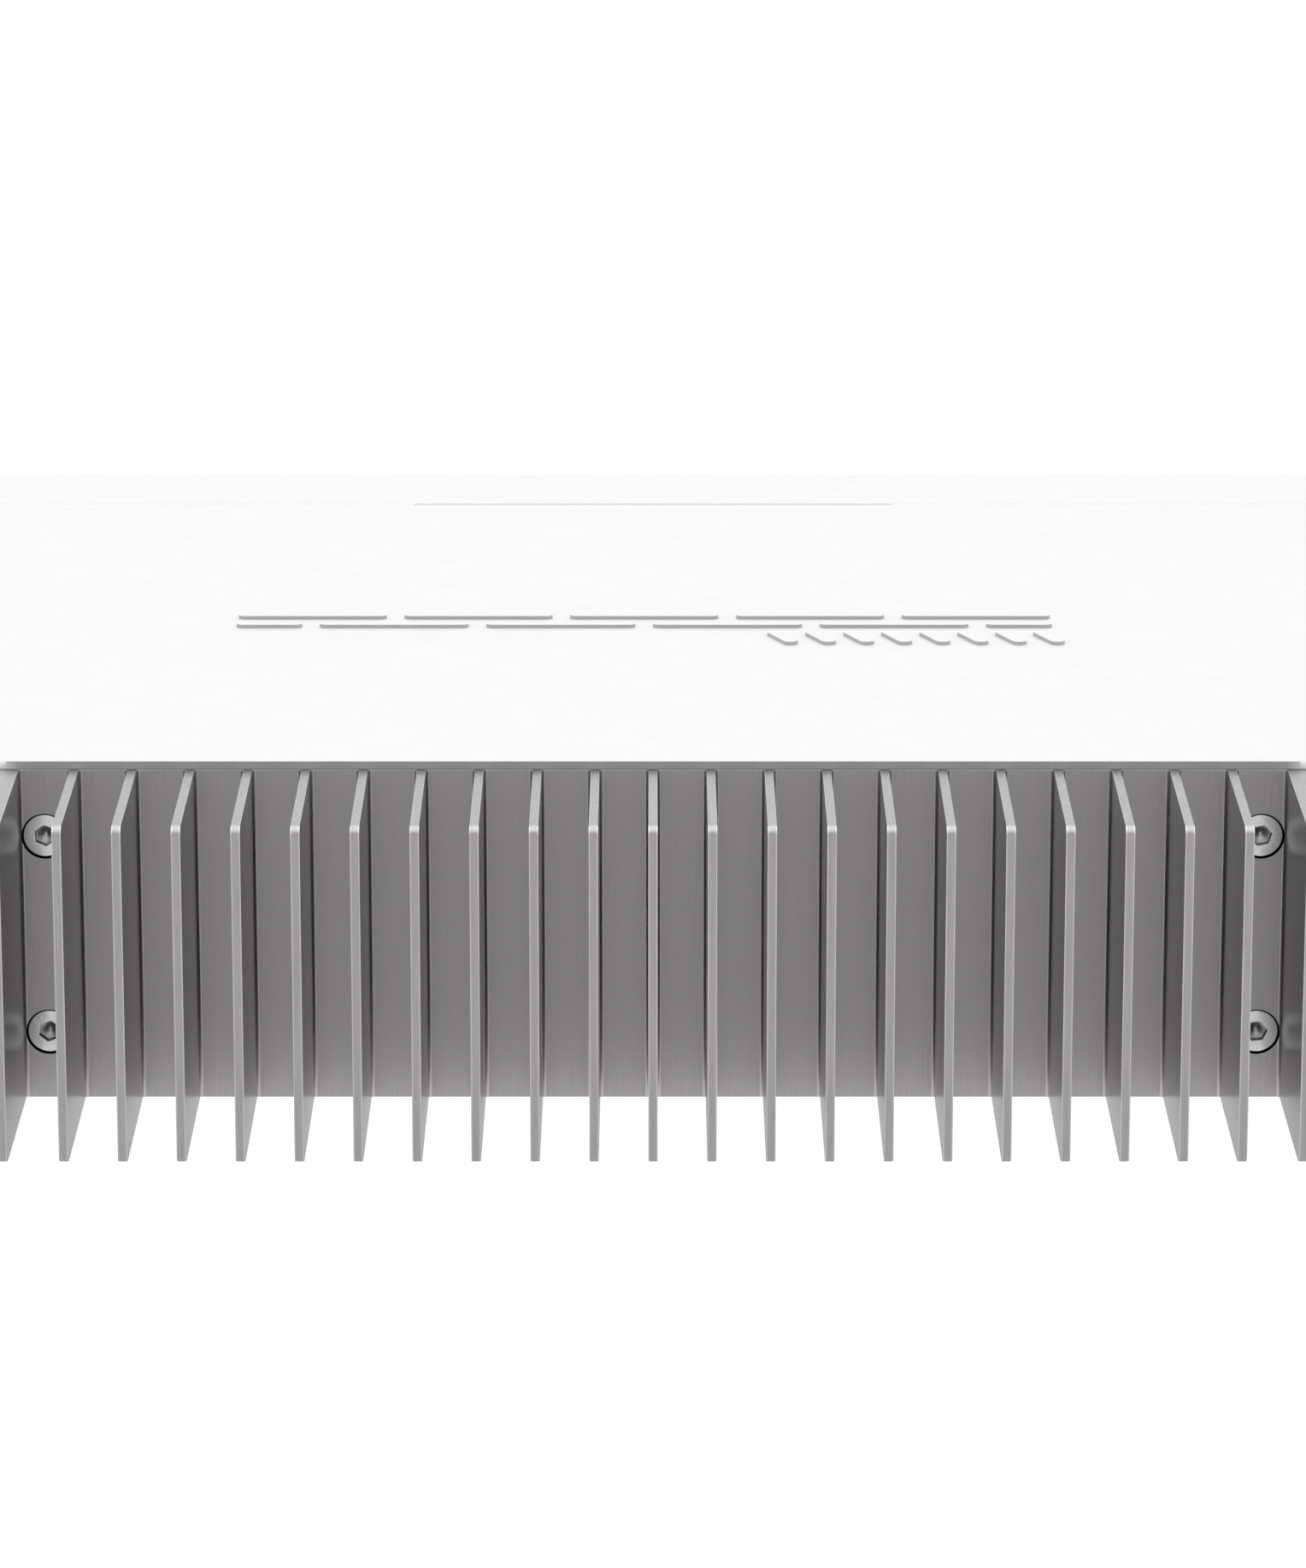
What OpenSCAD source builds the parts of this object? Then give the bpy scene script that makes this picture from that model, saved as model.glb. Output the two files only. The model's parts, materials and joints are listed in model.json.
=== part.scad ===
// Fanless desktop network router: white sheet-steel case with a finned aluminium heat sink as its rear wall.
// Millimetres. +Z is up, the ports face -Y, the fins face +Y. The origin is on the surface that the feet stand
// on, under the middle of the object's box.

/* [Case] */
// Width of the case, left to right
case_width = 272; // [268:1:290]
// Depth from the front panel to the rear face of the heat sink's base
case_depth = 168.1; // [165:0.1:180]
// Height of the case above its feet
case_height = 44; // [43.5:0.5:48]
// Thickness of the steel sheet of the case
sheet = 1; // [0.9:0.05:1.1]
// Depth of the front panel's fixed top, from its face to the lid's seam
hood_depth = 20.9; // [19:0.1:22]
// Width of the cut-back in the middle of the lid's front edge
cutback_width = 70; // [40:1:90]
// Depth of that cut-back
cutback_depth = 0.6; // [0.4:0.1:1]
// Height of the rubber feet
foot_height = 2; // [1.5:0.1:3]
// Radius of the rubber feet
foot_radius = 6; // [5:0.5:8]

/* [Heat sink] */
// Distance from one fin to the next
fin_pitch = 7.3; // [7.2:0.05:7.3]
// Thickness of a fin
fin_thickness = 1.15; // [1:0.05:1.5]
// Depth of the fins behind the base
fin_depth = 27.4; // [20:0.1:32]
// Number of thin fins on each side of the middle one
side_fins = 10; // [8:1:10]
// Inner face of the thick end fins, from the middle
end_fin_inner = 80; // [80:0.1:80.5]
// Outer face of the thick end fins, from the middle
end_fin_outer = 83; // [82.5:0.1:83]
// Thickness of the heat sink's base
base_thickness = 6; // [5.5:0.1:7]
// Radius of the fillet where a fin meets the base
root_fillet = 0.4; // [0.3:0.1:1]
// Radius of the fins' outer corners, seen from the side
tip_corner = 1.2; // [0.5:0.1:2]
// Gap between the lid and the top of the heat sink
lid_gap = 0.05; // [0.05:0.05:0.3]
// How far the heat sink's base stands out behind the lid's rear edge
base_reveal = 0.15; // [0:0.05:0.3]
// How far the heat sink reaches below the case's floor
sink_drop = 0.3; // [0:0.05:0.6]
// Distance of the heat sink's screws from the middle
sink_screw_x = 76.9; // [76.4:0.05:76.9]
// Distance of these screws from the top and the bottom of the heat sink
sink_screw_inset = 8.7; // [7:0.1:10]

/* [Screws] */
// Radius of an M3 socket head
socket_head_radius = 2.75; // [2.7:0.05:2.8]
// Height of an M3 socket head
socket_head_height = 3; // [2.8:0.1:3]
// Distance across the flats of its hexagon
hex_flats = 2.5; // [2.4:0.05:2.6]
// Radius of a counterbore for such a head
counterbore_radius = 3; // [2.9:0.05:3.2]
// Radius of an M3 thread
thread_radius = 1.45; // [1.4:0.05:1.45]
// Radius of a tapped M3 hole
tapped_radius = 1.5; // [1.5:0.05:1.55]
// Radius of a flat M3 head at its face
flat_head_radius = 2.8; // [2.7:0.05:2.85]

/* [Front sockets] */
// Middle of the console socket
console_x = -77; // [-78:1:-76]
// Middle of the left block of network sockets
left_block_x = -31; // [-32:1:-30]
// Middle of the right block of network sockets
right_block_x = 35; // [34:1:36]
// Middle of the first pluggable-module cage
cage_1_x = 82; // [82:1:84]
// Middle of the second pluggable-module cage
cage_2_x = 104; // [102:1:108]
// Width of one network socket's mouth
port_width = 11.8; // [11.7:0.1:12]
// Height of its mouth without the latch groove
port_height = 7; // [6.8:0.1:7.2]
// Distance from one network socket to the next
port_pitch = 14; // [13.8:0.1:14]
// Depth of a network socket
port_depth = 14; // [12:0.5:16]
// Width of the mouth of a module cage
cage_mouth_width = 14.2; // [14:0.1:14.4]
// Height of the mouth of a module cage
cage_mouth_height = 9.4; // [9:0.1:9.6]
// Length of a module cage
cage_length = 48; // [45:1:50]

/* [Controls] */
// Middle of the reset button
reset_x = -122; // [-124:1:-121]
// Height of the reset button's middle above the board
reset_rise = 3; // [2.8:0.1:3.2]
// Radius of the reset button
reset_radius = 1.5; // [1.3:0.1:1.5]
// Travel of the reset button
reset_travel = 0.5; // [0.3:0.1:0.5]
// Middle of the first status light
first_light_x = -112; // [-113:1:-111]
// Distance from one status light to the next
light_pitch = 6; // [5.5:0.1:6]

/* [Power side] */
// Middle of the first power socket
jack_1_x = 98; // [97:1:100]
// Middle of the second power socket
jack_2_x = 116; // [114:1:118]
// Middle of the grounding screw
ground_x = -100; // [-104:1:-98]
// Middle of the security slot
lock_x = -122; // [-124:1:-118]

/* [Lid band] */
// Height of the raised band on the lid
band_height = 0.5; // [0.2:0.1:0.8]
// Length of the band's long rows
long_row = 111; // [60:1:140]
// Length of the band's short row
short_row = 40; // [20:1:60]

/* [Hidden] */

$fn = 48;
eps = 0.01;
clearance = 0.05;

half_width = case_width / 2;
total_depth = case_depth + fin_depth;
front_y = -total_depth / 2;
base_y = front_y + case_depth;
tip_y = base_y + fin_depth;
floor_z = foot_height;
inside_low = floor_z + sheet;
top_z = floor_z + case_height;
inside_high = top_z - sheet;
wall_back = front_y + sheet;

bend_outer = 1.2;
bend_inner = bend_outer - sheet;
seam_gap = 0.1;
skirt_gap = 0.3;
seam_y = front_y + hood_depth;
lid_front = seam_y + seam_gap;
lid_rear = base_y - base_reveal;
tray_half = half_width - sheet - 0.2;
return_depth = 9.5;
return_y = front_y + return_depth;

sink_top = inside_high - lid_gap;
sink_low = floor_z - sink_drop;
sink_front = base_y - base_thickness;
sink_screw_zs = [sink_low + sink_screw_inset, sink_top - sink_screw_inset];
head_recess = 0.3;

bay_inner = end_fin_outer + 0.4;
rear_panel_y = lid_rear - sheet - 0.1;
rear_flange_low = top_z - 12;
lid_screw_x = end_fin_outer + 2.7;
lid_screw_y = lid_rear - 5.7;

bracket_inner = 66;
bracket_outer = end_fin_outer - 0.1;
bracket_sheet = 1.5;
bracket_foot_y = 50;
bracket_screw_xs = [70, 79];
bracket_screw_y = 56;

board_gap = 5;
board_z = inside_low + board_gap;
board_thickness = 1.6;
board_top = board_z + board_thickness;
board_half = 129;
board_front = wall_back + 0.6;
board_rear = 49;
board_wing = [90, 129];
board_wing_rear = rear_panel_y - sheet - 0.5;
board_holes = [[-124, -78], [124, -78], [-124, 42], [124, 42], [-70, -20], [75, -20]];

block_width = 4 * port_pitch + 2;
block_height = 27;
block_depth = 25;
block_front = front_y + 0.1;
shield_wall = 0.3;
row_rise = 7.7;
latch_width = 6.2;
latch_height = 2;
window_width = 2.4;
window_height = 1.3;
window_offset = 4.7;
window_depth = 2;
contact_pitch = 1.02;
contact_width = 0.45;
contact_drop = 2;
contact_length = 8;
console_width = 16;
console_height = 13.6;
console_depth = 18;
cage_wall = 0.4;
cage_width = cage_mouth_width + 2 * cage_wall;
cage_height = cage_mouth_height + 2 * cage_wall;
panel_clearance = 0.2;

jack_width = 9;
jack_height = 11;
jack_depth = 14;
jack_axis_z = board_top + 6;
jack_bore_radius = 3.15;
jack_bore_depth = 10;
jack_pin_radius = 1;
jack_window_radius = 5.2;
ground_z = 20;

lights = 4;
light_radius = 1.4;
light_z = 22;
light_stem = 2.4;
light_stem_y = front_y + 8;
led_size = [1.6, 0.8, 0.8];
reset_z = board_top + reset_rise;
switch_front = front_y + 6.2;

rack_hole_radius = 1.65;
rack_hole_ys = [front_y + 5.5, front_y + 15.5];
rack_hole_zs = [floor_z + 12, floor_z + 32];
side_screw_ys = [-60, 0, 55];
side_screw_z = 9;
front_screw_xs = [-110, 0, 110];
front_screw_y = front_y + 5;
foot_spots = [[-120, -80], [120, -80], [-120, 55], [120, 55]];

block_screw_x = 38;
block_screw_zs = [19, 38];
spreader_half = 30;
spreader_front = 5;
spreader_thickness = 12;
upright_half = 45;
upright_front = 54;
cpu_y = 25;
cpu_height = 3;
pad_height = 0.5;

white = [0.97, 0.97, 0.97];
aluminium = [0.72, 0.72, 0.73];
zinc = [0.8, 0.8, 0.8];
black = [0.08, 0.08, 0.08];
brass = [0.85, 0.68, 0.3];

// A section drawn in depth and height, carried along the width from x0 to x1
module along_x(x0, x1) {
    translate([x0, 0, 0])
        rotate([90, 0, 90])
            linear_extrude(x1 - x0)
                children();
}

// A section drawn in width and height, carried along the depth from y0 to y1
module along_y(y0, y1) {
    translate([0, y1, 0])
        rotate([90, 0, 0])
            linear_extrude(y1 - y0)
                children();
}

// A box between two opposite corners
module block(low, high) {
    translate(low)
        cube(high - low);
}

// A round bar along the depth
module rod_y(x, y0, y1, z, r) {
    translate([x, y0, z])
        rotate([-90, 0, 0])
            cylinder(h = y1 - y0, r = r);
}

// A round bar along the width
module rod_x(x0, x1, y, z, r) {
    translate([x0, y, z])
        rotate([0, 90, 0])
            cylinder(h = x1 - x0, r = r);
}

// The same shape on both sides of the middle
module both_sides() {
    children();
    mirror([1, 0, 0])
        children();
}

// Flat-headed screw: its face is at the origin and it points down. grow widens it into its own hole.
module flat_screw(length, grow = 0) {
    shoulder = 1;
    translate([0, 0, -shoulder])
        cylinder(h = shoulder, r1 = flat_head_radius - shoulder + grow, r2 = flat_head_radius + grow);
    translate([0, 0, -length])
        cylinder(h = length - shoulder + eps, r = thread_radius + grow);
}

// Cross recess of a flat-headed screw
module cross_recess() {
    arm = 2.8;
    slot = 0.6;
    deep = 0.7;
    for (turn = [0, 90])
        rotate([0, 0, turn])
            translate([-arm / 2, -slot / 2, -deep])
                cube([arm, slot, deep + 1]);
}

module finished_flat_screw(length) {
    difference() {
        flat_screw(length);
        cross_recess();
    }
}

// Socket-headed screw along +Z: its head's face is at the origin and its thread points down
module socket_screw(length, turn) {
    hex_corner = hex_flats / sqrt(3);
    hex_depth = 1.6;
    difference() {
        union() {
            translate([0, 0, -socket_head_height])
                cylinder(h = socket_head_height, r = socket_head_radius);
            translate([0, 0, -socket_head_height - length])
                cylinder(h = length + eps, r = thread_radius);
        }
        translate([0, 0, -hex_depth])
            rotate([0, 0, turn])
                cylinder(h = hex_depth + 1, r = hex_corner, $fn = 6);
    }
}

// Lower part of the case: floor, short side flanges and the two rear panels beside the heat sink
module chassis_tray() {
    flange_top = floor_z + 14;
    lap_front = front_y + 3;
    lap_rear = return_y + 4;
    color(white)
    difference() {
        union() {
            block([-tray_half, return_y + seam_gap, floor_z], [tray_half, sink_front - 0.2, inside_low]);
            block([-tray_half + 2, return_y + seam_gap, floor_z + sheet / 2],
                [tray_half - 2, lap_rear, inside_low + sheet]);
            block([-tray_half + 2, lap_front, inside_low],
                [tray_half - 2, return_y + seam_gap + eps, inside_low + sheet]);
            both_sides() {
                block([bay_inner, sink_front - 1, floor_z], [tray_half, rear_panel_y, inside_low]);
                block([tray_half - sheet, return_y + 12, floor_z], [tray_half, rear_panel_y - 2, flange_top]);
                block([bay_inner, rear_panel_y - sheet, floor_z],
                    [tray_half, rear_panel_y, inside_high - seam_gap]);
                block([bay_inner, rear_panel_y - 12, inside_high - seam_gap - sheet],
                    [bay_inner + 20, rear_panel_y, inside_high - seam_gap]);
                block([bay_inner, rear_panel_y - 12, floor_z],
                    [bay_inner + sheet / 2, rear_panel_y, inside_high - 8]);
            }
        }
        both_sides() {
            translate([lid_screw_x, lid_screw_y, inside_high - 3])
                cylinder(h = 4, r = tapped_radius);
            for (y = side_screw_ys)
                rod_x(tray_half - 3, tray_half + 1, y, side_screw_z, tapped_radius);
            for (x = bracket_screw_xs)
                translate([x, bracket_screw_y, floor_z])
                    mirror([0, 0, 1])
                        flat_screw(4, clearance);
        }
        for (x = front_screw_xs)
            translate([x, front_screw_y, inside_low - 1])
                cylinder(h = 4, r = tapped_radius);
        for (x = [jack_1_x, jack_2_x])
            rod_y(x, rear_panel_y - 3, rear_panel_y + 1, jack_axis_z, jack_window_radius);
        rod_y(ground_x, rear_panel_y - 3, rear_panel_y + 1, ground_z, 2);
        block([lock_x - 3.5, rear_panel_y - 3, ground_z - 1.5], [lock_x + 3.5, rear_panel_y + 1, ground_z + 1.5]);
    }
}

// Section of the front panel: face, bent top and the return under the tray
module front_section() {
    difference() {
        union() {
            translate([front_y, floor_z])
                square([sheet, case_height - bend_outer]);
            translate([front_y + bend_outer, inside_high])
                square([hood_depth - bend_outer, sheet]);
            translate([front_y, floor_z])
                square([return_depth, sheet]);
            translate([front_y + bend_outer, top_z - bend_outer])
                circle(bend_outer);
        }
        translate([front_y + sheet, inside_low])
            square([bend_inner + eps, case_height - 2 * sheet - bend_inner]);
        translate([front_y + bend_outer, top_z - bend_outer])
            circle(bend_inner);
        translate([front_y + bend_outer, top_z - 2 * bend_outer - 1])
            square([bend_outer, 2 * bend_outer]);
    }
}

// Front panel: one bent sheet with all the sockets' windows, and cheeks that continue the lid's sides
module front_panel() {
    tongue_half = half_width - 6;
    color(white)
    difference() {
        union() {
            along_x(-half_width + eps, half_width - eps)
                front_section();
            both_sides()
                block([half_width - sheet, front_y + 0.5, floor_z + 0.3], [half_width, seam_y, top_z - 0.5]);
            block([-tongue_half, seam_y - 5, inside_high - seam_gap - sheet],
                [tongue_half, seam_y + 7, inside_high - seam_gap]);
            block([-tongue_half, seam_y - 5, inside_high - sheet], [tongue_half, seam_y - 0.5, inside_high + eps]);
        }
        for (x = [left_block_x, right_block_x])
            socket_window(x, block_width, block_height);
        socket_window(console_x, console_width, console_height);
        for (x = [cage_1_x, cage_2_x])
            socket_window(x, cage_width, cage_height);
        for (i = [0 : lights - 1])
            rod_y(first_light_x + i * light_pitch, front_y - 1, wall_back + 1, light_z, light_radius + 0.1);
        rod_y(reset_x, front_y - 1, wall_back + 1, reset_z, reset_radius + 0.2);
        both_sides()
            for (y = rack_hole_ys, z = rack_hole_zs)
                rod_x(half_width - 3, half_width + 1, y, z, rack_hole_radius);
        for (x = front_screw_xs)
            translate([x, front_screw_y, floor_z])
                mirror([0, 0, 1])
                    flat_screw(4, clearance);
    }
}

// Window in the front panel for a socket that stands on the board
module socket_window(x, width, height) {
    block([x - width / 2 - panel_clearance, front_y - 1, board_top - panel_clearance],
        [x + width / 2 + panel_clearance, wall_back + 1, board_top + height + panel_clearance]);
}

// Outline of the lid seen from the front, with bends of radius r at the top
module lid_outline(half, low, high, r) {
    translate([-half, low])
        square([2 * half, high - low - r]);
    translate([-half + r, high - r - eps])
        square([2 * (half - r), r + eps]);
    for (side = [-1, 1])
        translate([side * (half - r), high - r])
            circle(r);
}

// Lid: top, full-height sides and a short rear flange over each rear panel
module top_lid() {
    flange_outer = half_width - sheet - skirt_gap;
    fade = 1.8;
    color(white)
    difference() {
        union() {
            difference() {
                along_y(lid_front, lid_rear)
                    difference() {
                        lid_outline(half_width, floor_z + 0.3, top_z, bend_outer);
                        lid_outline(half_width - sheet, floor_z - 1, inside_high, bend_inner);
                    }
                both_sides()
                    block([bay_inner, lid_rear - bend_outer, inside_high - 1], [flange_outer, lid_rear + 1, top_z + 1]);
            }
            both_sides()
                along_x(bay_inner, flange_outer)
                    rear_flange_section();
        }
        block([-cutback_width / 2, lid_front - 1, inside_high - 1],
            [cutback_width / 2, lid_front + cutback_depth, top_z + 1]);
        both_sides() {
            along_x(bay_inner - fade, bay_inner)
                edge_rounding();
            translate([lid_screw_x, lid_screw_y, top_z])
                flat_screw(4, clearance);
            for (y = side_screw_ys)
                translate([half_width, y, side_screw_z])
                    rotate([0, 90, 0])
                        flat_screw(4, clearance);
        }
    }
}

// What is rounded off the lid's rear edge where it runs into a rear flange's bend
module edge_rounding() {
    r = 0.9;
    difference() {
        translate([lid_rear - r, top_z - r])
            square(r + 1);
        translate([lid_rear - r, top_z - r])
            circle(r);
    }
}

// Section of the lid's rear flange with its bend
module rear_flange_section() {
    difference() {
        union() {
            translate([lid_rear - bend_outer, top_z - bend_outer])
                intersection() {
                    circle(bend_outer);
                    square(bend_outer);
                }
            translate([lid_rear - sheet, rear_flange_low])
                square([sheet, top_z - bend_outer - rear_flange_low + eps]);
            translate([lid_rear - bend_outer - 1, inside_high])
                square([1 + eps, sheet]);
        }
        translate([lid_rear - bend_outer, top_z - bend_outer])
            circle(bend_inner);
    }
}

// Raised decorative band on the lid: two long rows of dashes laid like bricks, and a short row of slanted bars
module lid_band() {
    dashes = 5;
    stroke = 1.7;
    dash_gap = 2.4;
    far_y = -6;
    near_y = -1;
    start = -(long_row + dash_gap) / 2;
    pitch = (long_row + dash_gap) / dashes;
    slants = 8;
    slant_y = 6.2;
    slant_depth = 4.6;
    slant_stroke = 2;
    slant_lean = 2;
    slant_pitch = (short_row - slant_stroke - slant_lean) / (slants - 1);
    color(white) {
        for (i = [0 : dashes - 1])
            band_bar([start + i * pitch + dash_gap, far_y], [start + (i + 1) * pitch, far_y], stroke);
        for (i = [0 : dashes])
            band_bar(
                [start + max(i - 0.5, 0) * pitch + dash_gap, near_y],
                [start + min(i + 0.5, dashes) * pitch, near_y],
                stroke
            );
        for (i = [0 : slants - 1])
            translate([(slant_stroke + slant_lean - long_row) / 2 + i * slant_pitch, slant_y])
                band_bar(
                    [-slant_lean / 2 - slant_stroke / 2, slant_depth / 2],
                    [slant_lean / 2 + slant_stroke / 2, -slant_depth / 2],
                    slant_stroke
                );
    }
}

// Raised bar on the lid with round ends, from the left end of one point to the right end of another
module band_bar(from, to, stroke) {
    start = from + [stroke / 2, 0];
    finish = to - [stroke / 2, 0];
    translate([0, 0, top_z])
        linear_extrude(band_height) {
            for (place = [start, finish])
                translate(place)
                    circle(stroke / 2);
            translate(start)
                rotate(atan2(finish.y - start.y, finish.x - start.x))
                    translate([0, -stroke / 2])
                        square([norm(finish - start), stroke]);
        }
}

// One fin in plan, with a fillet against the base on each side
module fin_plan(x0, x1) {
    translate([x0, base_y - eps])
        square([x1 - x0, fin_depth + eps]);
    difference() {
        translate([x0 - root_fillet, base_y - eps])
            square([x1 - x0 + 2 * root_fillet, root_fillet + eps]);
        for (x = [x0 - root_fillet, x1 + root_fillet])
            translate([x, base_y + root_fillet])
                circle(root_fillet);
    }
}

// Side outline of the heat sink with round corners at the fin tips
module sink_side() {
    height = sink_top - sink_low;
    translate([sink_front, sink_low])
        square([tip_y - sink_front - tip_corner, height]);
    translate([tip_y - tip_corner - eps, sink_low + tip_corner])
        square([tip_corner + eps, height - 2 * tip_corner]);
    for (z = [sink_low + tip_corner, sink_top - tip_corner])
        translate([tip_y - tip_corner, z])
            circle(tip_corner);
}

// Extruded heat sink: base, thin fins and a thick fin at each end
module heat_sink() {
    screw_hole = 1.7;
    tapped_depth = 4.2;
    color(aluminium)
    difference() {
        intersection() {
            translate([0, 0, sink_low])
                linear_extrude(sink_top - sink_low)
                    difference() {
                        union() {
                            translate([-end_fin_outer, sink_front])
                                square([2 * end_fin_outer, base_thickness]);
                            for (i = [-side_fins : side_fins])
                                fin_plan(i * fin_pitch - fin_thickness / 2, i * fin_pitch + fin_thickness / 2);
                            fin_plan(end_fin_inner, end_fin_outer);
                            fin_plan(-end_fin_outer, -end_fin_inner);
                        }
                        for (side = [-1, 1])
                            translate([side * (end_fin_outer + root_fillet) - root_fillet, base_y - 1])
                                square([2 * root_fillet, fin_depth]);
                    }
            along_x(-half_width, half_width)
                sink_side();
        }
        both_sides() {
            for (z = sink_screw_zs) {
                rod_y(sink_screw_x, sink_front - 1, tip_y, z, screw_hole);
                rod_y(sink_screw_x, base_y - head_recess - socket_head_height, base_y + 4, z, counterbore_radius);
            }
            for (z = block_screw_zs)
                rod_y(block_screw_x, sink_front - 1, sink_front + tapped_depth, z, tapped_radius);
        }
    }
}

module heat_sink_screws() {
    turns = [24, 7, -9, 12];
    color(zinc)
    for (side = [0, 1], level = [0, 1])
        translate([(2 * side - 1) * sink_screw_x, base_y - head_recess, sink_screw_zs[level]])
            rotate([-90, 0, 0])
                socket_screw(6, turns[2 * side + level]);
}

// Steel angle that ties one end of the heat sink to the tray
module heat_sink_bracket() {
    color(zinc)
    difference() {
        union() {
            block([bracket_inner, sink_front - bracket_sheet, inside_low], [bracket_outer, sink_front, sink_top - 2]);
            block([bracket_inner, bracket_foot_y, inside_low],
                [bracket_outer, sink_front - bracket_sheet + eps, inside_low + bracket_sheet]);
        }
        for (z = sink_screw_zs)
            rod_y(sink_screw_x, sink_front - 3, sink_front + 1, z, tapped_radius);
        for (x = bracket_screw_xs)
            translate([x, bracket_screw_y, inside_low - 1])
                cylinder(h = 4, r = tapped_radius);
    }
}

module heat_sink_bracket_right() {
    heat_sink_bracket();
}

module heat_sink_bracket_left() {
    mirror([1, 0, 0])
        heat_sink_bracket();
}

module bracket_screws() {
    color(zinc)
    both_sides()
        for (x = bracket_screw_xs)
            translate([x, bracket_screw_y, floor_z])
                mirror([0, 0, 1])
                    finished_flat_screw(4.6);
}

module lid_rear_screws() {
    color(zinc)
    both_sides()
        translate([lid_screw_x, lid_screw_y, top_z])
            finished_flat_screw(5);
}

module lid_side_screws() {
    color(zinc)
    both_sides()
        for (y = side_screw_ys)
            translate([half_width, y, side_screw_z])
                rotate([0, 90, 0])
                    finished_flat_screw(4.5);
}

module front_panel_screws() {
    color(zinc)
    for (x = front_screw_xs)
        translate([x, front_screw_y, floor_z])
            mirror([0, 0, 1])
                finished_flat_screw(4.5);
}

module rubber_feet() {
    color([0.12, 0.12, 0.12])
    for (spot = foot_spots)
        translate([spot[0], spot[1], 0])
            cylinder(h = foot_height, r1 = foot_radius - 0.5, r2 = foot_radius);
}

module main_board() {
    color([0.05, 0.3, 0.15])
    difference() {
        union() {
            block([-board_half, board_front, board_z], [board_half, board_rear, board_top]);
            block([board_wing[0], board_rear - 1, board_z], [board_wing[1], board_wing_rear, board_top]);
        }
        for (spot = board_holes)
            translate([spot[0], spot[1], board_z - 1])
                cylinder(h = 4, r = 1.6);
    }
}

module board_standoffs() {
    flats = 5.5;
    color(brass)
    for (spot = board_holes)
        translate([spot[0], spot[1], inside_low])
            difference() {
                cylinder(h = board_gap, r = flats / sqrt(3), $fn = 6);
                translate([0, 0, -1])
                    cylinder(h = board_gap + 2, r = tapped_radius);
            }
}

module board_screws() {
    head = 2.75;
    head_height = 1.9;
    color(zinc)
    for (spot = board_holes)
        translate([spot[0], spot[1], board_top])
            difference() {
                union() {
                    cylinder(h = head_height, r = head);
                    translate([0, 0, -5])
                        cylinder(h = 5 + eps, r = thread_radius);
                }
                translate([0, 0, head_height])
                    cross_recess();
            }
}

// Aluminium angle that carries the processor's heat to the heat sink
module conduction_block() {
    low = board_top + cpu_height + pad_height;
    color(aluminium)
    difference() {
        union() {
            block([-spreader_half, spreader_front, low], [spreader_half, upright_front + eps, low + spreader_thickness]);
            block([-upright_half, upright_front, low], [upright_half, sink_front, sink_top - 2]);
        }
        both_sides()
            for (z = block_screw_zs)
                rod_y(block_screw_x, upright_front - 1, sink_front + 1, z, 1.6);
    }
}

module conduction_block_screws() {
    length = sink_front - upright_front + 4;
    color(zinc)
    both_sides()
        for (z = block_screw_zs)
            translate([block_screw_x, upright_front - socket_head_height, z])
                rotate([90, 0, 0])
                    socket_screw(length, 0);
}

module cpu_chip() {
    base = [31, 31, 1.2];
    cap = [26, 26, cpu_height - base[2]];
    color([0.5, 0.5, 0.52])
    translate([0, cpu_y, board_top]) {
        translate([-base[0] / 2, -base[1] / 2, 0])
            cube(base);
        translate([-cap[0] / 2, -cap[1] / 2, base[2] - eps])
            cube([cap[0], cap[1], cap[2] + eps]);
    }
}

module cpu_thermal_pad() {
    side = 24;
    color([0.55, 0.6, 0.7])
    translate([-side / 2, cpu_y - side / 2, board_top + cpu_height])
        cube([side, side, pad_height]);
}

// Mouth of a network socket, centred on its main part. latch is 1 for a groove on top, -1 for one below.
module port_mouth(latch) {
    square([port_width, port_height], center = true);
    translate([0, latch * (port_height + latch_height) / 2])
        square([latch_width, latch_height + 2 * eps], center = true);
}

// Window of a socket's two link lights, beside the latch groove
module port_windows(latch, grow) {
    for (side = [-1, 1])
        translate([side * window_offset, latch * (port_height + latch_height + 0.2) / 2])
            square([window_width + grow, window_height + grow], center = true);
}

// Places a shape at each of a block's eight sockets
module each_port(block_x) {
    for (column = [-1.5 : 1.5])
        for (latch = [-1, 1])
            translate([block_x + column * port_pitch, board_top + block_height / 2 + latch * (row_rise - 1.9)])
                children(latch > 0 ? 1 : 0);
}

// Steel shell around a socket block, open below
module socket_shield(x, width, height, depth) {
    difference() {
        block([x - width / 2, block_front, board_top], [x + width / 2, block_front + depth, board_top + height]);
        block([x - width / 2 + shield_wall, block_front + shield_wall, board_top - 1],
            [x + width / 2 - shield_wall, block_front + depth - shield_wall, board_top + height - shield_wall]);
    }
}

// Moulded body inside a socket's shell
module socket_body(x, width, height, depth) {
    inset = shield_wall + clearance;
    block([x - width / 2 + inset, block_front + inset, board_top],
        [x + width / 2 - inset, block_front + depth - inset, board_top + height - inset]);
}

module ethernet_shield(x) {
    color(zinc)
    difference() {
        socket_shield(x, block_width, block_height, block_depth);
        along_y(block_front - 1, block_front + 1)
            each_port(x) {
                port_face(-1);
                port_face(1);
            }
    }
}

// Everything cut out of a shell's face for one socket
module port_face(latch) {
    port_mouth(latch);
    port_windows(latch, 0.2);
}

module ethernet_insert(x) {
    color(black)
    difference() {
        socket_body(x, block_width, block_height, block_depth);
        along_y(block_front - 1, block_front + port_depth)
            each_port(x) {
                port_mouth(-1);
                port_mouth(1);
            }
        along_y(block_front - 1, block_front + window_depth + 0.6)
            each_port(x) {
                port_windows(-1, 0.2);
                port_windows(1, 0.2);
            }
    }
}

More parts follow.
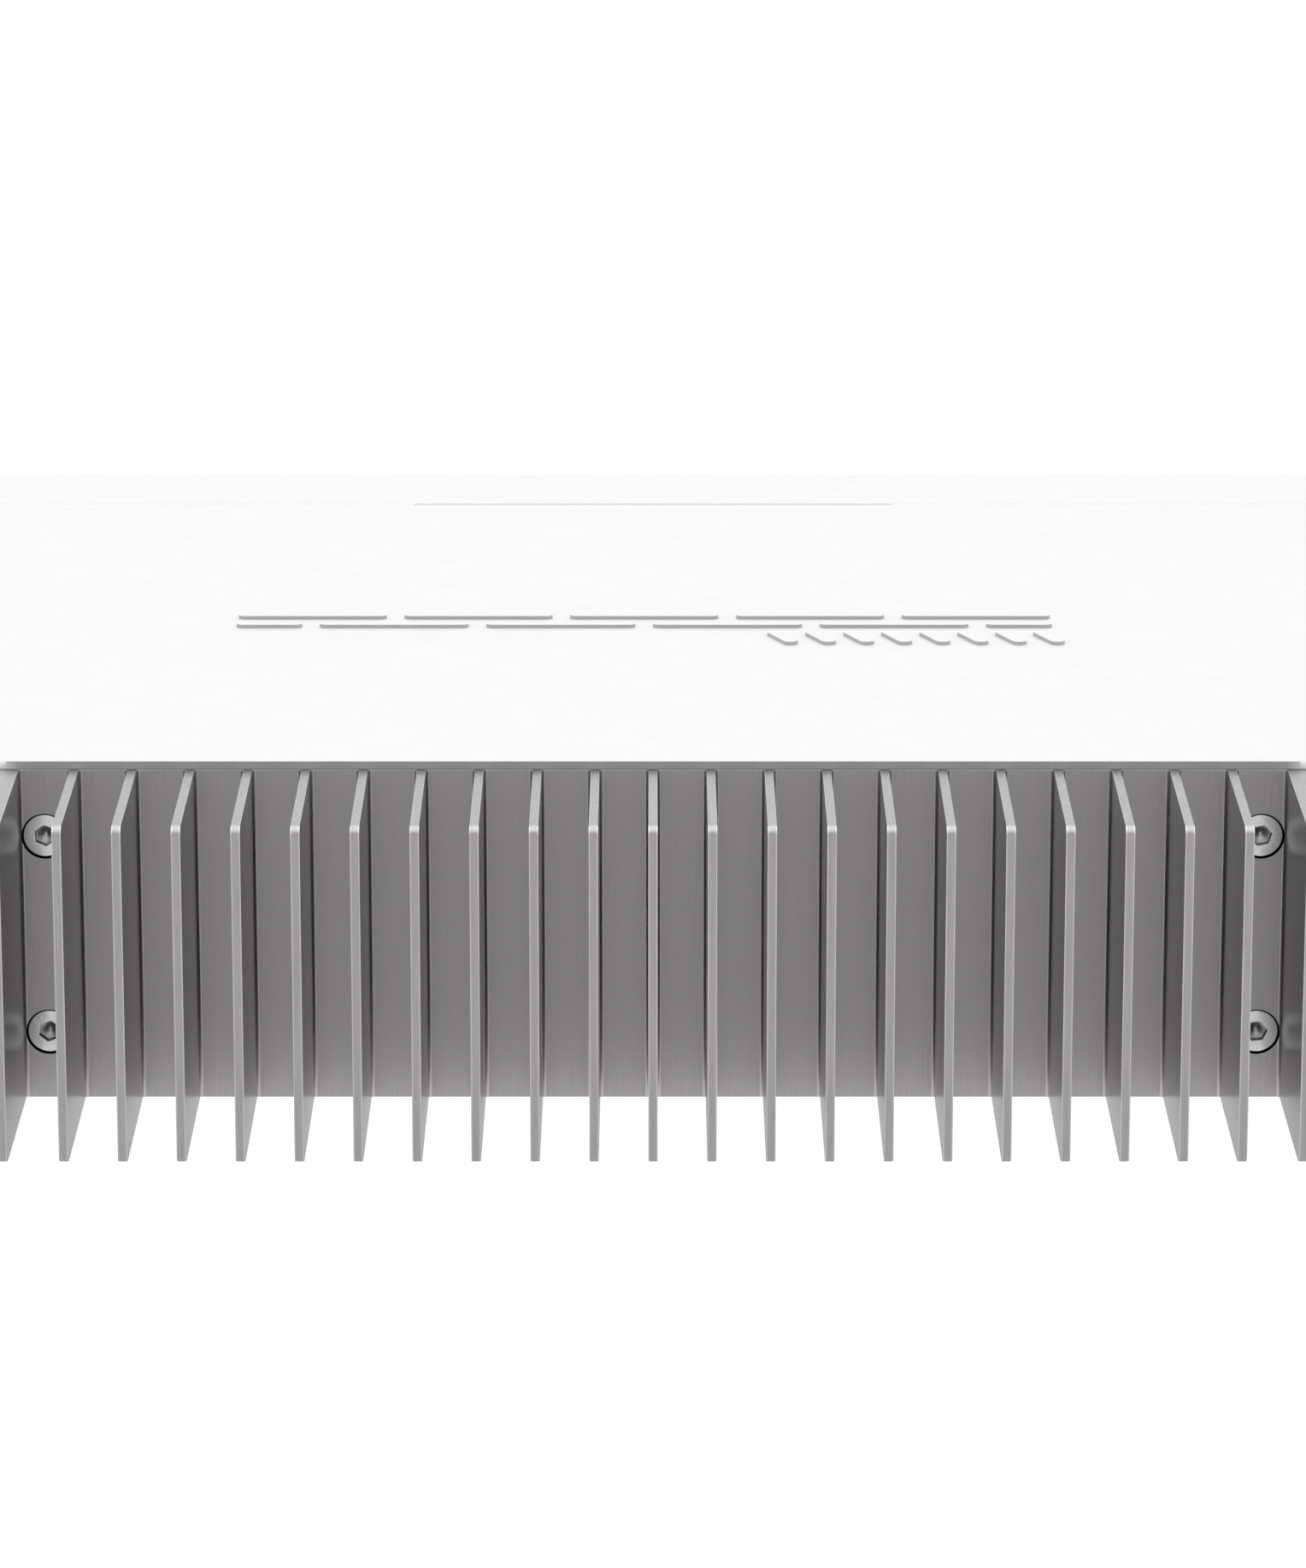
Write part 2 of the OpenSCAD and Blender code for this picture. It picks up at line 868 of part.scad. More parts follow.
// Eight sprung contacts of one socket, on the side away from its latch
module port_contacts(x, z, latch) {
    tilt = atan2(contact_drop, contact_length);
    wall_z = z - latch * (port_height / 2 - 0.3);
    for (i = [-3.5 : 3.5])
        translate([x + i * contact_pitch, block_front + 3.5, wall_z])
            rotate([latch * tilt, 0, 0])
                translate([-contact_width / 2, 0, -0.1])
                    cube([contact_width, contact_length, 0.2]);
}

module ethernet_contacts(x) {
    color(brass)
    for (column = [-1.5 : 1.5], latch = [-1, 1])
        port_contacts(x + column * port_pitch, board_top + block_height / 2 + latch * (row_rise - 1.9), latch);
}

module link_light_windows() {
    color([0.75, 0.85, 0.6])
    along_y(block_front + 0.1, block_front + window_depth)
        for (x = [left_block_x, right_block_x])
            each_port(x) {
                port_windows(-1, 0);
                port_windows(1, 0);
            }
}

module console_shield() {
    color(zinc)
    difference() {
        socket_shield(console_x, console_width, console_height, console_depth);
        along_y(block_front - 1, block_front + 1)
            translate([console_x, board_top + console_height / 2 + 0.8])
                port_mouth(-1);
    }
}

module console_insert() {
    color(black)
    difference() {
        socket_body(console_x, console_width, console_height, console_depth);
        along_y(block_front - 1, block_front + port_depth)
            translate([console_x, board_top + console_height / 2 + 0.8])
                port_mouth(-1);
    }
}

module console_contacts() {
    color(brass)
    port_contacts(console_x, board_top + console_height / 2 + 0.8, -1);
}

// Sheet-metal cage of a pluggable module
module module_cage(x) {
    color(zinc)
    difference() {
        block([x - cage_width / 2, block_front, board_top],
            [x + cage_width / 2, block_front + cage_length, board_top + cage_height]);
        block([x - cage_mouth_width / 2, block_front - 1, board_top + cage_wall],
            [x + cage_mouth_width / 2, block_front + cage_length - cage_wall, board_top + cage_height - cage_wall]);
    }
}

// Edge connector at the back of a cage, with the slot that takes the module's board
module module_connector(x) {
    width = 12.6;
    height = 6.4;
    depth = 8;
    slot = 1.4;
    back = block_front + cage_length - cage_wall - clearance;
    low = board_top + cage_wall;
    color(black)
    difference() {
        block([x - width / 2, back - depth, low], [x + width / 2, back, low + height]);
        block([x - width / 2 + 1, back - depth - 1, low + 3], [x + width / 2 - 1, back - 3, low + 3 + slot]);
    }
}

module power_jack(x) {
    face = rear_panel_y - sheet;
    color(black)
    difference() {
        block([x - jack_width / 2, face - jack_depth, board_top], [x + jack_width / 2, face, board_top + jack_height]);
        rod_y(x, face - jack_bore_depth, face + 1, jack_axis_z, jack_bore_radius);
    }
}

module power_jack_pins() {
    face = rear_panel_y - sheet;
    color(zinc)
    for (x = [jack_1_x, jack_2_x])
        rod_y(x, face - jack_bore_depth, face - 1, jack_axis_z, jack_pin_radius);
}

module ground_washer() {
    thickness = 0.8;
    color(zinc)
    difference() {
        rod_y(ground_x, rear_panel_y, rear_panel_y + thickness, ground_z, 4.6);
        rod_y(ground_x, rear_panel_y - 1, rear_panel_y + thickness + 1, ground_z, 2.1);
    }
}

module ground_screw() {
    seat = rear_panel_y + 0.8;
    head_height = 2.6;
    color(zinc)
    difference() {
        union() {
            rod_y(ground_x, seat, seat + head_height, ground_z, 3.9);
            rod_y(ground_x, seat - 7, seat + eps, ground_z, 1.95);
        }
        translate([ground_x, seat + head_height, ground_z])
            rotate([-90, 0, 0])
                scale(1.3)
                    cross_recess();
    }
}

// Reset button: a plunger with a collar that keeps it behind the panel
module reset_button() {
    collar = reset_radius + 0.7;
    color([0.85, 0.85, 0.85])
    union() {
        rod_y(reset_x, front_y + 0.2, switch_front - reset_travel - 0.1, reset_z, reset_radius);
        rod_y(reset_x, wall_back + 0.5, wall_back + 1.3, reset_z, collar);
    }
}

// Switch that the reset button presses, with a guide tube around the plunger
module reset_switch() {
    size = [6.2, 4, 6];
    tube = reset_radius + 1.3;
    bore = reset_radius + 0.2;
    color(black)
    difference() {
        union() {
            block([reset_x - size[0] / 2, switch_front, board_top],
                [reset_x + size[0] / 2, switch_front + size[1], board_top + size[2]]);
            rod_y(reset_x, switch_front - 2, switch_front + eps, reset_z, tube);
        }
        rod_y(reset_x, switch_front - 3, switch_front, reset_z, bore);
    }
}

// Clear light guides from the board to the panel
module status_light_pipes() {
    color([0.85, 0.9, 0.85, 0.7])
    for (i = [0 : lights - 1])
        translate([first_light_x + i * light_pitch, 0, 0])
            union() {
                rod_y(0, front_y, light_stem_y, light_z, light_radius);
                block([-light_stem / 2, light_stem_y - light_stem, board_top + 1.2],
                    [light_stem / 2, light_stem_y, light_z + light_stem / 2]);
            }
}

module status_leds() {
    color([0.9, 0.9, 0.7])
    for (i = [0 : lights - 1])
        translate([first_light_x + i * light_pitch - led_size[0] / 2,
            light_stem_y - light_stem / 2 - led_size[1] / 2, board_top])
            cube(led_size);
}

// A row of equal chips standing on the board
module chips(spots, size) {
    for (spot = spots)
        translate([spot[0] - size[0] / 2, spot[1] - size[1] / 2, board_top])
            cube(size);
}

module memory_chips() {
    color(black)
    chips([[-50, 18], [-50, 34], [50, 18], [50, 34]], [8, 12, 1.1]);
}

module flash_chip() {
    color(black)
    chips([[-72, 26]], [12, 18, 1.1]);
}

module switch_chips() {
    color(black)
    chips([[left_block_x, -48], [right_block_x, -48]], [20, 20, 1.4]);
}

module board_crystal() {
    color(zinc)
    chips([[-10, -20]], [5, 3.2, 0.9]);
}

module power_inductors() {
    color([0.25, 0.25, 0.27])
    chips([[72, 8], [72, 24], [90, 8], [90, 24]], [10, 10, 4.5]);
}

module power_capacitors() {
    color([0.7, 0.7, 0.75])
    for (x = [104, 114], y = [-4, 8, 20])
        translate([x, y, board_top])
            cylinder(h = 11, r = 4);
}

// Ring-shaped noise filter on the power input
module input_choke() {
    ring = 6;
    wire = 3;
    color([0.6, 0.35, 0.15])
    translate([107, 38, board_top + wire])
        rotate_extrude()
            translate([ring, 0])
                circle(wire);
}

module input_fuses() {
    color([0.9, 0.88, 0.8])
    chips([[93, 40], [93, 46]], [7, 3, 2.5]);
}

chassis_tray();
front_panel();
top_lid();
lid_band();
heat_sink();
heat_sink_screws();
heat_sink_bracket_left();
heat_sink_bracket_right();
bracket_screws();
lid_rear_screws();
lid_side_screws();
front_panel_screws();
rubber_feet();
main_board();
board_standoffs();
board_screws();
conduction_block();
conduction_block_screws();
cpu_chip();
cpu_thermal_pad();
ethernet_shield(left_block_x);  // ethernet_shield_left
ethernet_shield(right_block_x);  // ethernet_shield_right
ethernet_insert(left_block_x);  // ethernet_insert_left
ethernet_insert(right_block_x);  // ethernet_insert_right
ethernet_contacts(left_block_x);  // ethernet_contacts_left
ethernet_contacts(right_block_x);  // ethernet_contacts_right
link_light_windows();
console_shield();
console_insert();
console_contacts();
module_cage(cage_1_x);  // module_cage_1
module_cage(cage_2_x);  // module_cage_2
module_connector(cage_1_x);  // module_connector_1
module_connector(cage_2_x);  // module_connector_2
power_jack(jack_1_x);  // power_jack_1
power_jack(jack_2_x);  // power_jack_2
power_jack_pins();
ground_screw();
ground_washer();
reset_button();
reset_switch();
status_light_pipes();
status_leds();
memory_chips();
flash_chip();
switch_chips();
board_crystal();
power_inductors();
power_capacitors();
input_choke();
input_fuses();
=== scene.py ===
"""Looks of a fanless desktop router: white powder-coated case with a finned aluminium heat sink behind."""
import json
import math

import bmesh
import bpy
from mathutils import Matrix, Vector


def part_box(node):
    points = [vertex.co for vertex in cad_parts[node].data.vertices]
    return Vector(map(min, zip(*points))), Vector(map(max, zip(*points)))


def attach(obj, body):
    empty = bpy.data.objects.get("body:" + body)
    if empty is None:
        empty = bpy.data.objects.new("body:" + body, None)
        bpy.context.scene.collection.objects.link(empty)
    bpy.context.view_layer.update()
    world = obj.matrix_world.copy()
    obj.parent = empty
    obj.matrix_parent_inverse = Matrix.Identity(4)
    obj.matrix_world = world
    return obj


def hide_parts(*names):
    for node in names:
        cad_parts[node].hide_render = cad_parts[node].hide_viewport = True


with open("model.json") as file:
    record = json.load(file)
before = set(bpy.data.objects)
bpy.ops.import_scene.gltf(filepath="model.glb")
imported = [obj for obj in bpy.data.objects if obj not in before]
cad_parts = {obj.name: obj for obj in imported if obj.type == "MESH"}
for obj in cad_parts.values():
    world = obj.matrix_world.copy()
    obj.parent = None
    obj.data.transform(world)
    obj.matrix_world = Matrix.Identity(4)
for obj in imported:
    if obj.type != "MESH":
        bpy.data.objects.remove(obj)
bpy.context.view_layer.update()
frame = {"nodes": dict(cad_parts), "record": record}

MM = 0.001
BODY = "router"
NODES = frame["nodes"]


def low_high(node):
    """Lowest and highest corner of a CAD node, in millimetres."""
    low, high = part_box(node)
    return low / MM, high / MM


# ---------------------------------------------------------------------------
# Dimensions, in millimetres, worked out from the frame
# ---------------------------------------------------------------------------
SINK_LOW, SINK_HIGH = low_high("heat_sink")
LID_HIGH = low_high("top_lid")[1]
LID_REAR = LID_HIGH.y                   # rear face of the lid's rear edge
BASE_Y = LID_REAR + 0.15                # rear face of the heat sink's base
TIP_Y = SINK_HIGH.y                     # rear faces of the fins
FIN_PITCH = 7.3
FIN_THICKNESS = 1.15
SIDE_FINS = 10
END_FIN_INNER = 80.0
END_FIN_OUTER = SINK_HIGH.x
ROOT_FILLET = 0.4
ARRIS_FRONT = 0.14                      # broken upright edge of a fin, measured across the fin
ARRIS_SIDE = 0.08                       # and along it
TIP_BACK = 1.5                          # rounding of a fin's two corners: how far it reaches forward
TIP_DROP = 0.95                         # and how far it reaches down
CUT_EDGE = 0.08                         # broken edge where the extrusion was sawn
SCREW_X = 76.9
SCREW_INSET = 8.7
SCREW_ZS = (SINK_LOW.z + SCREW_INSET, SINK_HIGH.z - SCREW_INSET)
HEAD_RECESS = 0.3
HEX_DEPTH = 1.2
PANEL_LOW = low_high("front_panel")[0]
TRAY_LOW = low_high("chassis_tray")[0]
REAR_PANEL = LID_REAR - 1.1             # rear faces of the tray's two rear walls beside the heat sink
LID_SCREW_X = 85.7
SIDE_SCREW_YS = (-60.0, 0.0, 55.0)
SIDE_SCREW_Z = 9.0
GROUND_X, GROUND_Z = -100.0, 20.0
JACK_XS = (98.0, 116.0)
JACK_AXIS_Z = 15.6
BOARD_TOP = 9.6
SOCKET_FRONT = PANEL_LOW.y + 0.1
BLOCK_XS = {"left": -31.0, "right": 35.0}   # middles of the two blocks of network sockets
BLOCK_ABOVE_BOARD = 13.5
PORT_PITCH = 14.0
PORT_ROW = 5.8                          # from a block's middle to the middle of a row of sockets
CONSOLE_X = -77.0
CONSOLE_ABOVE_BOARD = 7.6
STATUS_X = -112.0                       # first of four status lights, 6 mm apart
STATUS_PITCH = 6.0
STATUS_Z = 22.0
RESET_X = -122.0
RESET_ABOVE_BOARD = 3.0
RESET_PROUD = 0.2
LID_SCREW_Y = LID_REAR - 5.7
PANEL_SCREW_XS = (-110, 0, 110)
PANEL_SCREW_Y = PANEL_LOW.y + 5.0
BRACKET_SCREW_XS = (70, 79)
BRACKET_SCREW_Y = 56.0
FOOT_XS = (-120.0, 120.0)
FOOT_YS = (-80.0, 55.0)

# The camera's place against the heat sink's base and top
CAMERA_BACK = 829.3
CAMERA_RISE = 221.9
CAMERA_TILT = 15.1
CAMERA_LENS = 156.36


# ---------------------------------------------------------------------------
# Camera, light and floor
# ---------------------------------------------------------------------------
def make_camera():
    """Behind the object and 15.1 degrees above it, with a long lens."""
    data = bpy.data.cameras.new("camera")
    data.sensor_width = 36.0
    data.sensor_fit = "AUTO"
    data.lens = CAMERA_LENS
    data.clip_start = 0.05
    data.clip_end = 20.0
    camera = bpy.data.objects.new("camera", data)
    bpy.context.scene.collection.objects.link(camera)
    camera.location = (0.0, (BASE_Y + CAMERA_BACK) * MM, (SINK_HIGH.z + CAMERA_RISE) * MM)
    camera.rotation_euler = (math.radians(90.0 - CAMERA_TILT), 0.0, math.radians(180.0))
    bpy.context.scene.camera = camera


# Brightness of the dome along its axis, from the side away from the light to the side it comes from
DOME_LEVELS = [(0.0, 0.35), (0.40, 0.45), (0.48, 0.55), (0.73, 0.72), (0.78, 0.78), (0.92, 1.15), (1.0, 1.45)]
DOME_AXIS = Vector((0.0, -0.3, 0.95)).normalized()
SIDE_LIGHT = 0.35                       # how much brighter the dome is to the left and right
FLOOR_NEAR = 0.64                       # glow of the floor under the object
FLOOR_FAR = 0.5                         # and behind it
FLOOR_STEP = (0.078, 0.1)               # where the one turns into the other, along Y in metres


def make_world():
    """Soft studio dome: brightest overhead, bright to both sides, dim on the heat sink's side."""
    world = bpy.data.worlds.new("studio")
    bpy.context.scene.world = world
    world.use_nodes = True
    tree = world.node_tree
    tree.nodes.clear()
    coords = tree.nodes.new("ShaderNodeTexCoord")
    along = tree.nodes.new("ShaderNodeVectorMath")
    along.operation = "DOT_PRODUCT"
    along.inputs[1].default_value = DOME_AXIS
    tree.links.new(coords.outputs["Generated"], along.inputs[0])
    spread = tree.nodes.new("ShaderNodeMapRange")
    spread.inputs["From Min"].default_value = -1.0
    spread.inputs["From Max"].default_value = 1.0
    tree.links.new(along.outputs["Value"], spread.inputs["Value"])
    ramp = tree.nodes.new("ShaderNodeValToRGB")
    ramp.color_ramp.interpolation = "LINEAR"
    fill_ramp(ramp, DOME_LEVELS)
    tree.links.new(spread.outputs["Result"], ramp.inputs["Fac"])
    sides = tree.nodes.new("ShaderNodeVectorMath")
    sides.operation = "DOT_PRODUCT"
    sides.inputs[1].default_value = (1.0, 0.0, 0.0)
    tree.links.new(coords.outputs["Generated"], sides.inputs[0])
    squared = tree.nodes.new("ShaderNodeMath")
    squared.operation = "POWER"
    squared.inputs[1].default_value = 2.0
    tree.links.new(sides.outputs["Value"], squared.inputs[0])
    level = tree.nodes.new("ShaderNodeMath")
    level.operation = "MULTIPLY_ADD"
    level.inputs[1].default_value = SIDE_LIGHT
    tree.links.new(squared.outputs["Value"], level.inputs[0])
    tree.links.new(ramp.outputs["Color"], level.inputs[2])
    dome = tree.nodes.new("ShaderNodeBackground")
    dome.inputs["Color"].default_value = (1.0, 1.0, 1.0, 1.0)
    tree.links.new(level.outputs["Value"], dome.inputs["Strength"])
    backdrop = tree.nodes.new("ShaderNodeBackground")
    backdrop.inputs["Color"].default_value = (1.0, 1.0, 1.0, 1.0)
    path = tree.nodes.new("ShaderNodeLightPath")
    mix = tree.nodes.new("ShaderNodeMixShader")
    tree.links.new(path.outputs["Is Camera Ray"], mix.inputs["Fac"])
    tree.links.new(dome.outputs["Background"], mix.inputs[1])
    tree.links.new(backdrop.outputs["Background"], mix.inputs[2])
    out = tree.nodes.new("ShaderNodeOutputWorld")
    tree.links.new(mix.outputs["Shader"], out.inputs["Surface"])


def fill_ramp(ramp, stops):
    """Grey stops of a colour ramp, from a list of (place, level)."""
    elements = ramp.color_ramp.elements
    while len(elements) > 1:
        elements.remove(elements[-1])
    elements[0].position = stops[0][0]
    elements[0].color = (stops[0][1], stops[0][1], stops[0][1], 1.0)
    for place, level in stops[1:]:
        elements.new(place).color = (level, level, level, 1.0)


def make_floor():
    """Plain white floor, evenly lit like a light table, so that the object casts no hard shadow."""
    mesh = bpy.data.meshes.new("floor")
    half = 4.0
    corners = [(-half, -half, 0.0), (half, -half, 0.0), (half, half, 0.0), (-half, half, 0.0)]
    mesh.from_pydata(corners, [], [(0, 1, 2, 3)])
    floor = bpy.data.objects.new("floor", mesh)
    bpy.context.scene.collection.objects.link(floor)
    material = bpy.data.materials.new("floor_white")
    material.use_nodes = True
    tree = material.node_tree
    tree.nodes.clear()
    diffuse = tree.nodes.new("ShaderNodeBsdfDiffuse")
    diffuse.inputs["Color"].default_value = (0.12, 0.12, 0.12, 1.0)
    glow = tree.nodes.new("ShaderNodeEmission")
    glow.inputs["Color"].default_value = (1.0, 1.0, 1.0, 1.0)
    place = tree.nodes.new("ShaderNodeTexCoord")
    split = tree.nodes.new("ShaderNodeSeparateXYZ")
    tree.links.new(place.outputs["Object"], split.inputs["Vector"])
    near = tree.nodes.new("ShaderNodeMapRange")
    near.inputs["From Min"].default_value = FLOOR_STEP[0]
    near.inputs["From Max"].default_value = FLOOR_STEP[1]
    near.inputs["To Min"].default_value = FLOOR_NEAR
    near.inputs["To Max"].default_value = FLOOR_FAR
    tree.links.new(split.outputs["Y"], near.inputs["Value"])
    path = tree.nodes.new("ShaderNodeLightPath")
    strength = tree.nodes.new("ShaderNodeMapRange")
    strength.inputs["To Max"].default_value = 1.0
    tree.links.new(near.outputs["Result"], strength.inputs["To Min"])
    tree.links.new(path.outputs["Is Camera Ray"], strength.inputs["Value"])
    tree.links.new(strength.outputs["Result"], glow.inputs["Strength"])
    both = tree.nodes.new("ShaderNodeAddShader")
    tree.links.new(diffuse.outputs["BSDF"], both.inputs[0])
    tree.links.new(glow.outputs["Emission"], both.inputs[1])
    out = tree.nodes.new("ShaderNodeOutputMaterial")
    tree.links.new(both.outputs["Shader"], out.inputs["Surface"])
    mesh.materials.append(material)


bpy.context.scene.view_settings.view_transform = "Standard"
bpy.context.scene.view_settings.look = "None"
make_camera()
make_world()
make_floor()


# ---------------------------------------------------------------------------
# Materials
# ---------------------------------------------------------------------------
class Surface:
    """A material's node tree, with short calls for the nodes it is made of."""

    def __init__(self, name, colour, roughness, metallic=0.0):
        self.material = bpy.data.materials.new(name)
        self.material.use_nodes = True
        self.tree = self.material.node_tree
        self.shader = self.tree.nodes["Principled BSDF"]
        self.shader.inputs["Base Color"].default_value = (*colour, 1.0)
        self.shader.inputs["Roughness"].default_value = roughness
        self.shader.inputs["Metallic"].default_value = metallic
        self.colour = colour
        self.roughness = roughness
        self.place = self.tree.nodes.new("ShaderNodeTexCoord").outputs["Object"]

    def node(self, kind, **values):
        made = self.tree.nodes.new(kind)
        for key, value in values.items():
            setattr(made, key, value)
        return made

    def link(self, source, target):
        self.tree.links.new(source, target)

    def true_normal(self):
        return self.node("ShaderNodeNewGeometry").outputs["True Normal"]

    def axes(self, vector):
        split = self.node("ShaderNodeSeparateXYZ")
        self.link(vector, split.inputs["Vector"])
        return split.outputs

    def between(self, value, low, high):
        """1 where the value lies between low and high, given in millimetres, and 0 elsewhere."""
        above = self.math("GREATER_THAN", value, low * MM)
        below = self.math("LESS_THAN", value, high * MM)
        return self.math("MULTIPLY", above, below)

    def recess(self):
        """1 on the walls of the heat sink's four counterbores, 0 elsewhere."""
        place = self.axes(self.place)
        across = self.between(self.math("ABSOLUTE", place["X"], 0.0), SCREW_X - 3.05, SCREW_X + 3.05)
        deep = self.between(place["Y"], BASE_Y - 3.5, BASE_Y - 0.015)
        level = self.between(place["Z"], SINK_LOW.z + 3.0, SINK_HIGH.z - 3.0)
        return self.math("MULTIPLY", self.math("MULTIPLY", across, deep), level)

    def scaled(self, per_mm):
        """Object coordinates counted in cells: per_mm cells to the millimetre along X, Y and Z."""
        mapping = self.node("ShaderNodeMapping")
        mapping.inputs["Scale"].default_value = [cells / MM for cells in per_mm]
        self.link(self.place, mapping.inputs["Vector"])
        return mapping.outputs["Vector"]

    def noise(self, per_mm, detail=3.0, rough=0.5):
        noise = self.node("ShaderNodeTexNoise")
        noise.inputs["Scale"].default_value = 1.0
        noise.inputs["Detail"].default_value = detail
        noise.inputs["Roughness"].default_value = rough
        self.link(self.scaled(per_mm), noise.inputs["Vector"])
        return noise.outputs["Fac"]

    def ranged(self, value, low, high, source=(0.3, 0.7)):
        spread = self.node("ShaderNodeMapRange")
        for socket, limit in zip(("From Min", "From Max", "To Min", "To Max"), (*source, low, high)):
            spread.inputs[socket].default_value = limit
        self.link(value, spread.inputs["Value"])
        return spread.outputs["Result"]

    def math(self, operation, a, b):
        node = self.node("ShaderNodeMath", operation=operation)
        for socket, value in zip(node.inputs, (a, b)):
            if isinstance(value, (int, float)):
                socket.default_value = value
            else:
                self.link(value, socket)
        return node.outputs["Value"]

    def mixed(self, factor, a, b):
        mix = self.node("ShaderNodeMix", data_type="FLOAT")
        for socket, value in ((mix.inputs[0], factor), (mix.inputs[2], a), (mix.inputs[3], b)):
            if isinstance(value, (int, float)):
                socket.default_value = value
            else:
                self.link(value, socket)
        return mix.outputs[0]

    def tint(self, value, dark, light, source=(0.3, 0.7)):
        """Base colour that runs from dark to light times the material's colour."""
        ramp = self.node("ShaderNodeMix", data_type="RGBA")
        ramp.inputs[6].default_value = (*[c * dark for c in self.colour], 1.0)
        ramp.inputs[7].default_value = (*[min(1.0, c * light) for c in self.colour], 1.0)
        self.link(self.ranged(value, 0.0, 1.0, source), ramp.inputs[0])
        self.link(ramp.outputs[2], self.shader.inputs["Base Color"])

    def rough(self, value, low, high, source=(0.3, 0.7)):
        self.link(self.ranged(value, low, high, source), self.shader.inputs["Roughness"])

    def bump(self, value, height_mm, strength=1.0):
        bump = self.node("ShaderNodeBump")
        bump.inputs["Strength"].default_value = strength
        bump.inputs["Distance"].default_value = height_mm * MM
        self.link(value, bump.inputs["Height"])
        self.link(bump.outputs["Normal"], self.shader.inputs["Normal"])


def powder_coat(name, level, shaded_faces=None):
    """White powder coat with fine orange peel; an optional function of the surface marks the faces that get a
    grey painted shade.
    """
    surface = Surface(name, (level, level, level), 0.5)
    surface.shader.inputs["Specular IOR Level"].default_value = 0.4
    peel = surface.noise((1.6, 1.6, 1.6), detail=2.0)
    grit = surface.noise((6.0, 6.0, 6.0), detail=2.0)
    mottle = surface.noise((0.25, 0.25, 0.25))
    if shaded_faces:
        # painted shade: grey with a faint streaky noise on the faces the marker picks out
        shade_grey = surface.ranged(surface.noise((5.0, 5.0, 0.6), rough=0.6), PAINTED_SHADE_GREY * 0.96, PAINTED_SHADE_GREY * 1.04)
        coat = surface.ranged(mottle, level * 0.985, min(level * 1.01, 1.0))
        shade = surface.node("ShaderNodeCombineColor")
        value = surface.mixed(shaded_faces(surface), coat, shade_grey)
        for channel in ("Red", "Green", "Blue"):
            surface.link(value, shade.inputs[channel])
        surface.link(shade.outputs["Color"], surface.shader.inputs["Base Color"])
    else:
        surface.tint(mottle, 0.985, 1.01)
    surface.rough(grit, 0.44, 0.56)
    surface.bump(surface.math("ADD", peel, surface.math("MULTIPLY", grit, 0.35)), 0.012)
    return surface.material


def lid_edge_shade(surface):
    """Where the lid's cut rear edge between the two flanges gets its grey painted shade, fading out towards
    the flanges.
    """
    normal = surface.axes(surface.true_normal())
    place = surface.axes(surface.place)
    facing_back = surface.math("GREATER_THAN", normal["Y"], 0.8)
    above = surface.math("GREATER_THAN", place["Z"], (LID_HIGH.z - 1.3) * MM)
    across = surface.math("ABSOLUTE", place["X"], 0.0)
    between = surface.ranged(across, 1.0, 0.0, (80.0 * MM, 82.4 * MM))
    return surface.math("MULTIPLY", surface.math("MULTIPLY", facing_back, above), between)


def band_side_shade(surface):
    """Where the sides of the raised band get their grey painted shade."""
    normal = surface.axes(surface.true_normal())
    return surface.math("LESS_THAN", surface.math("ABSOLUTE", normal["Z"], 0.0), 0.5)


# Brightness of the heat sink's faces against its plain colour. Apart from the sawn ends these are painted
# light: painted shade on the fin sides, base plate, fin tips and screw recesses, a painted highlight on
# broken edges and root fillets.
FIN_SIDE_SHADE = 0.84
BASE_PLATE_SHADE = 0.93
EDGE_HIGHLIGHT = 1.4                       # painted highlight on broken edges and root fillets
FIN_TIP_SHADE = 0.96
RECESS_SHADE = 0.06
SAWN_END = 0.92


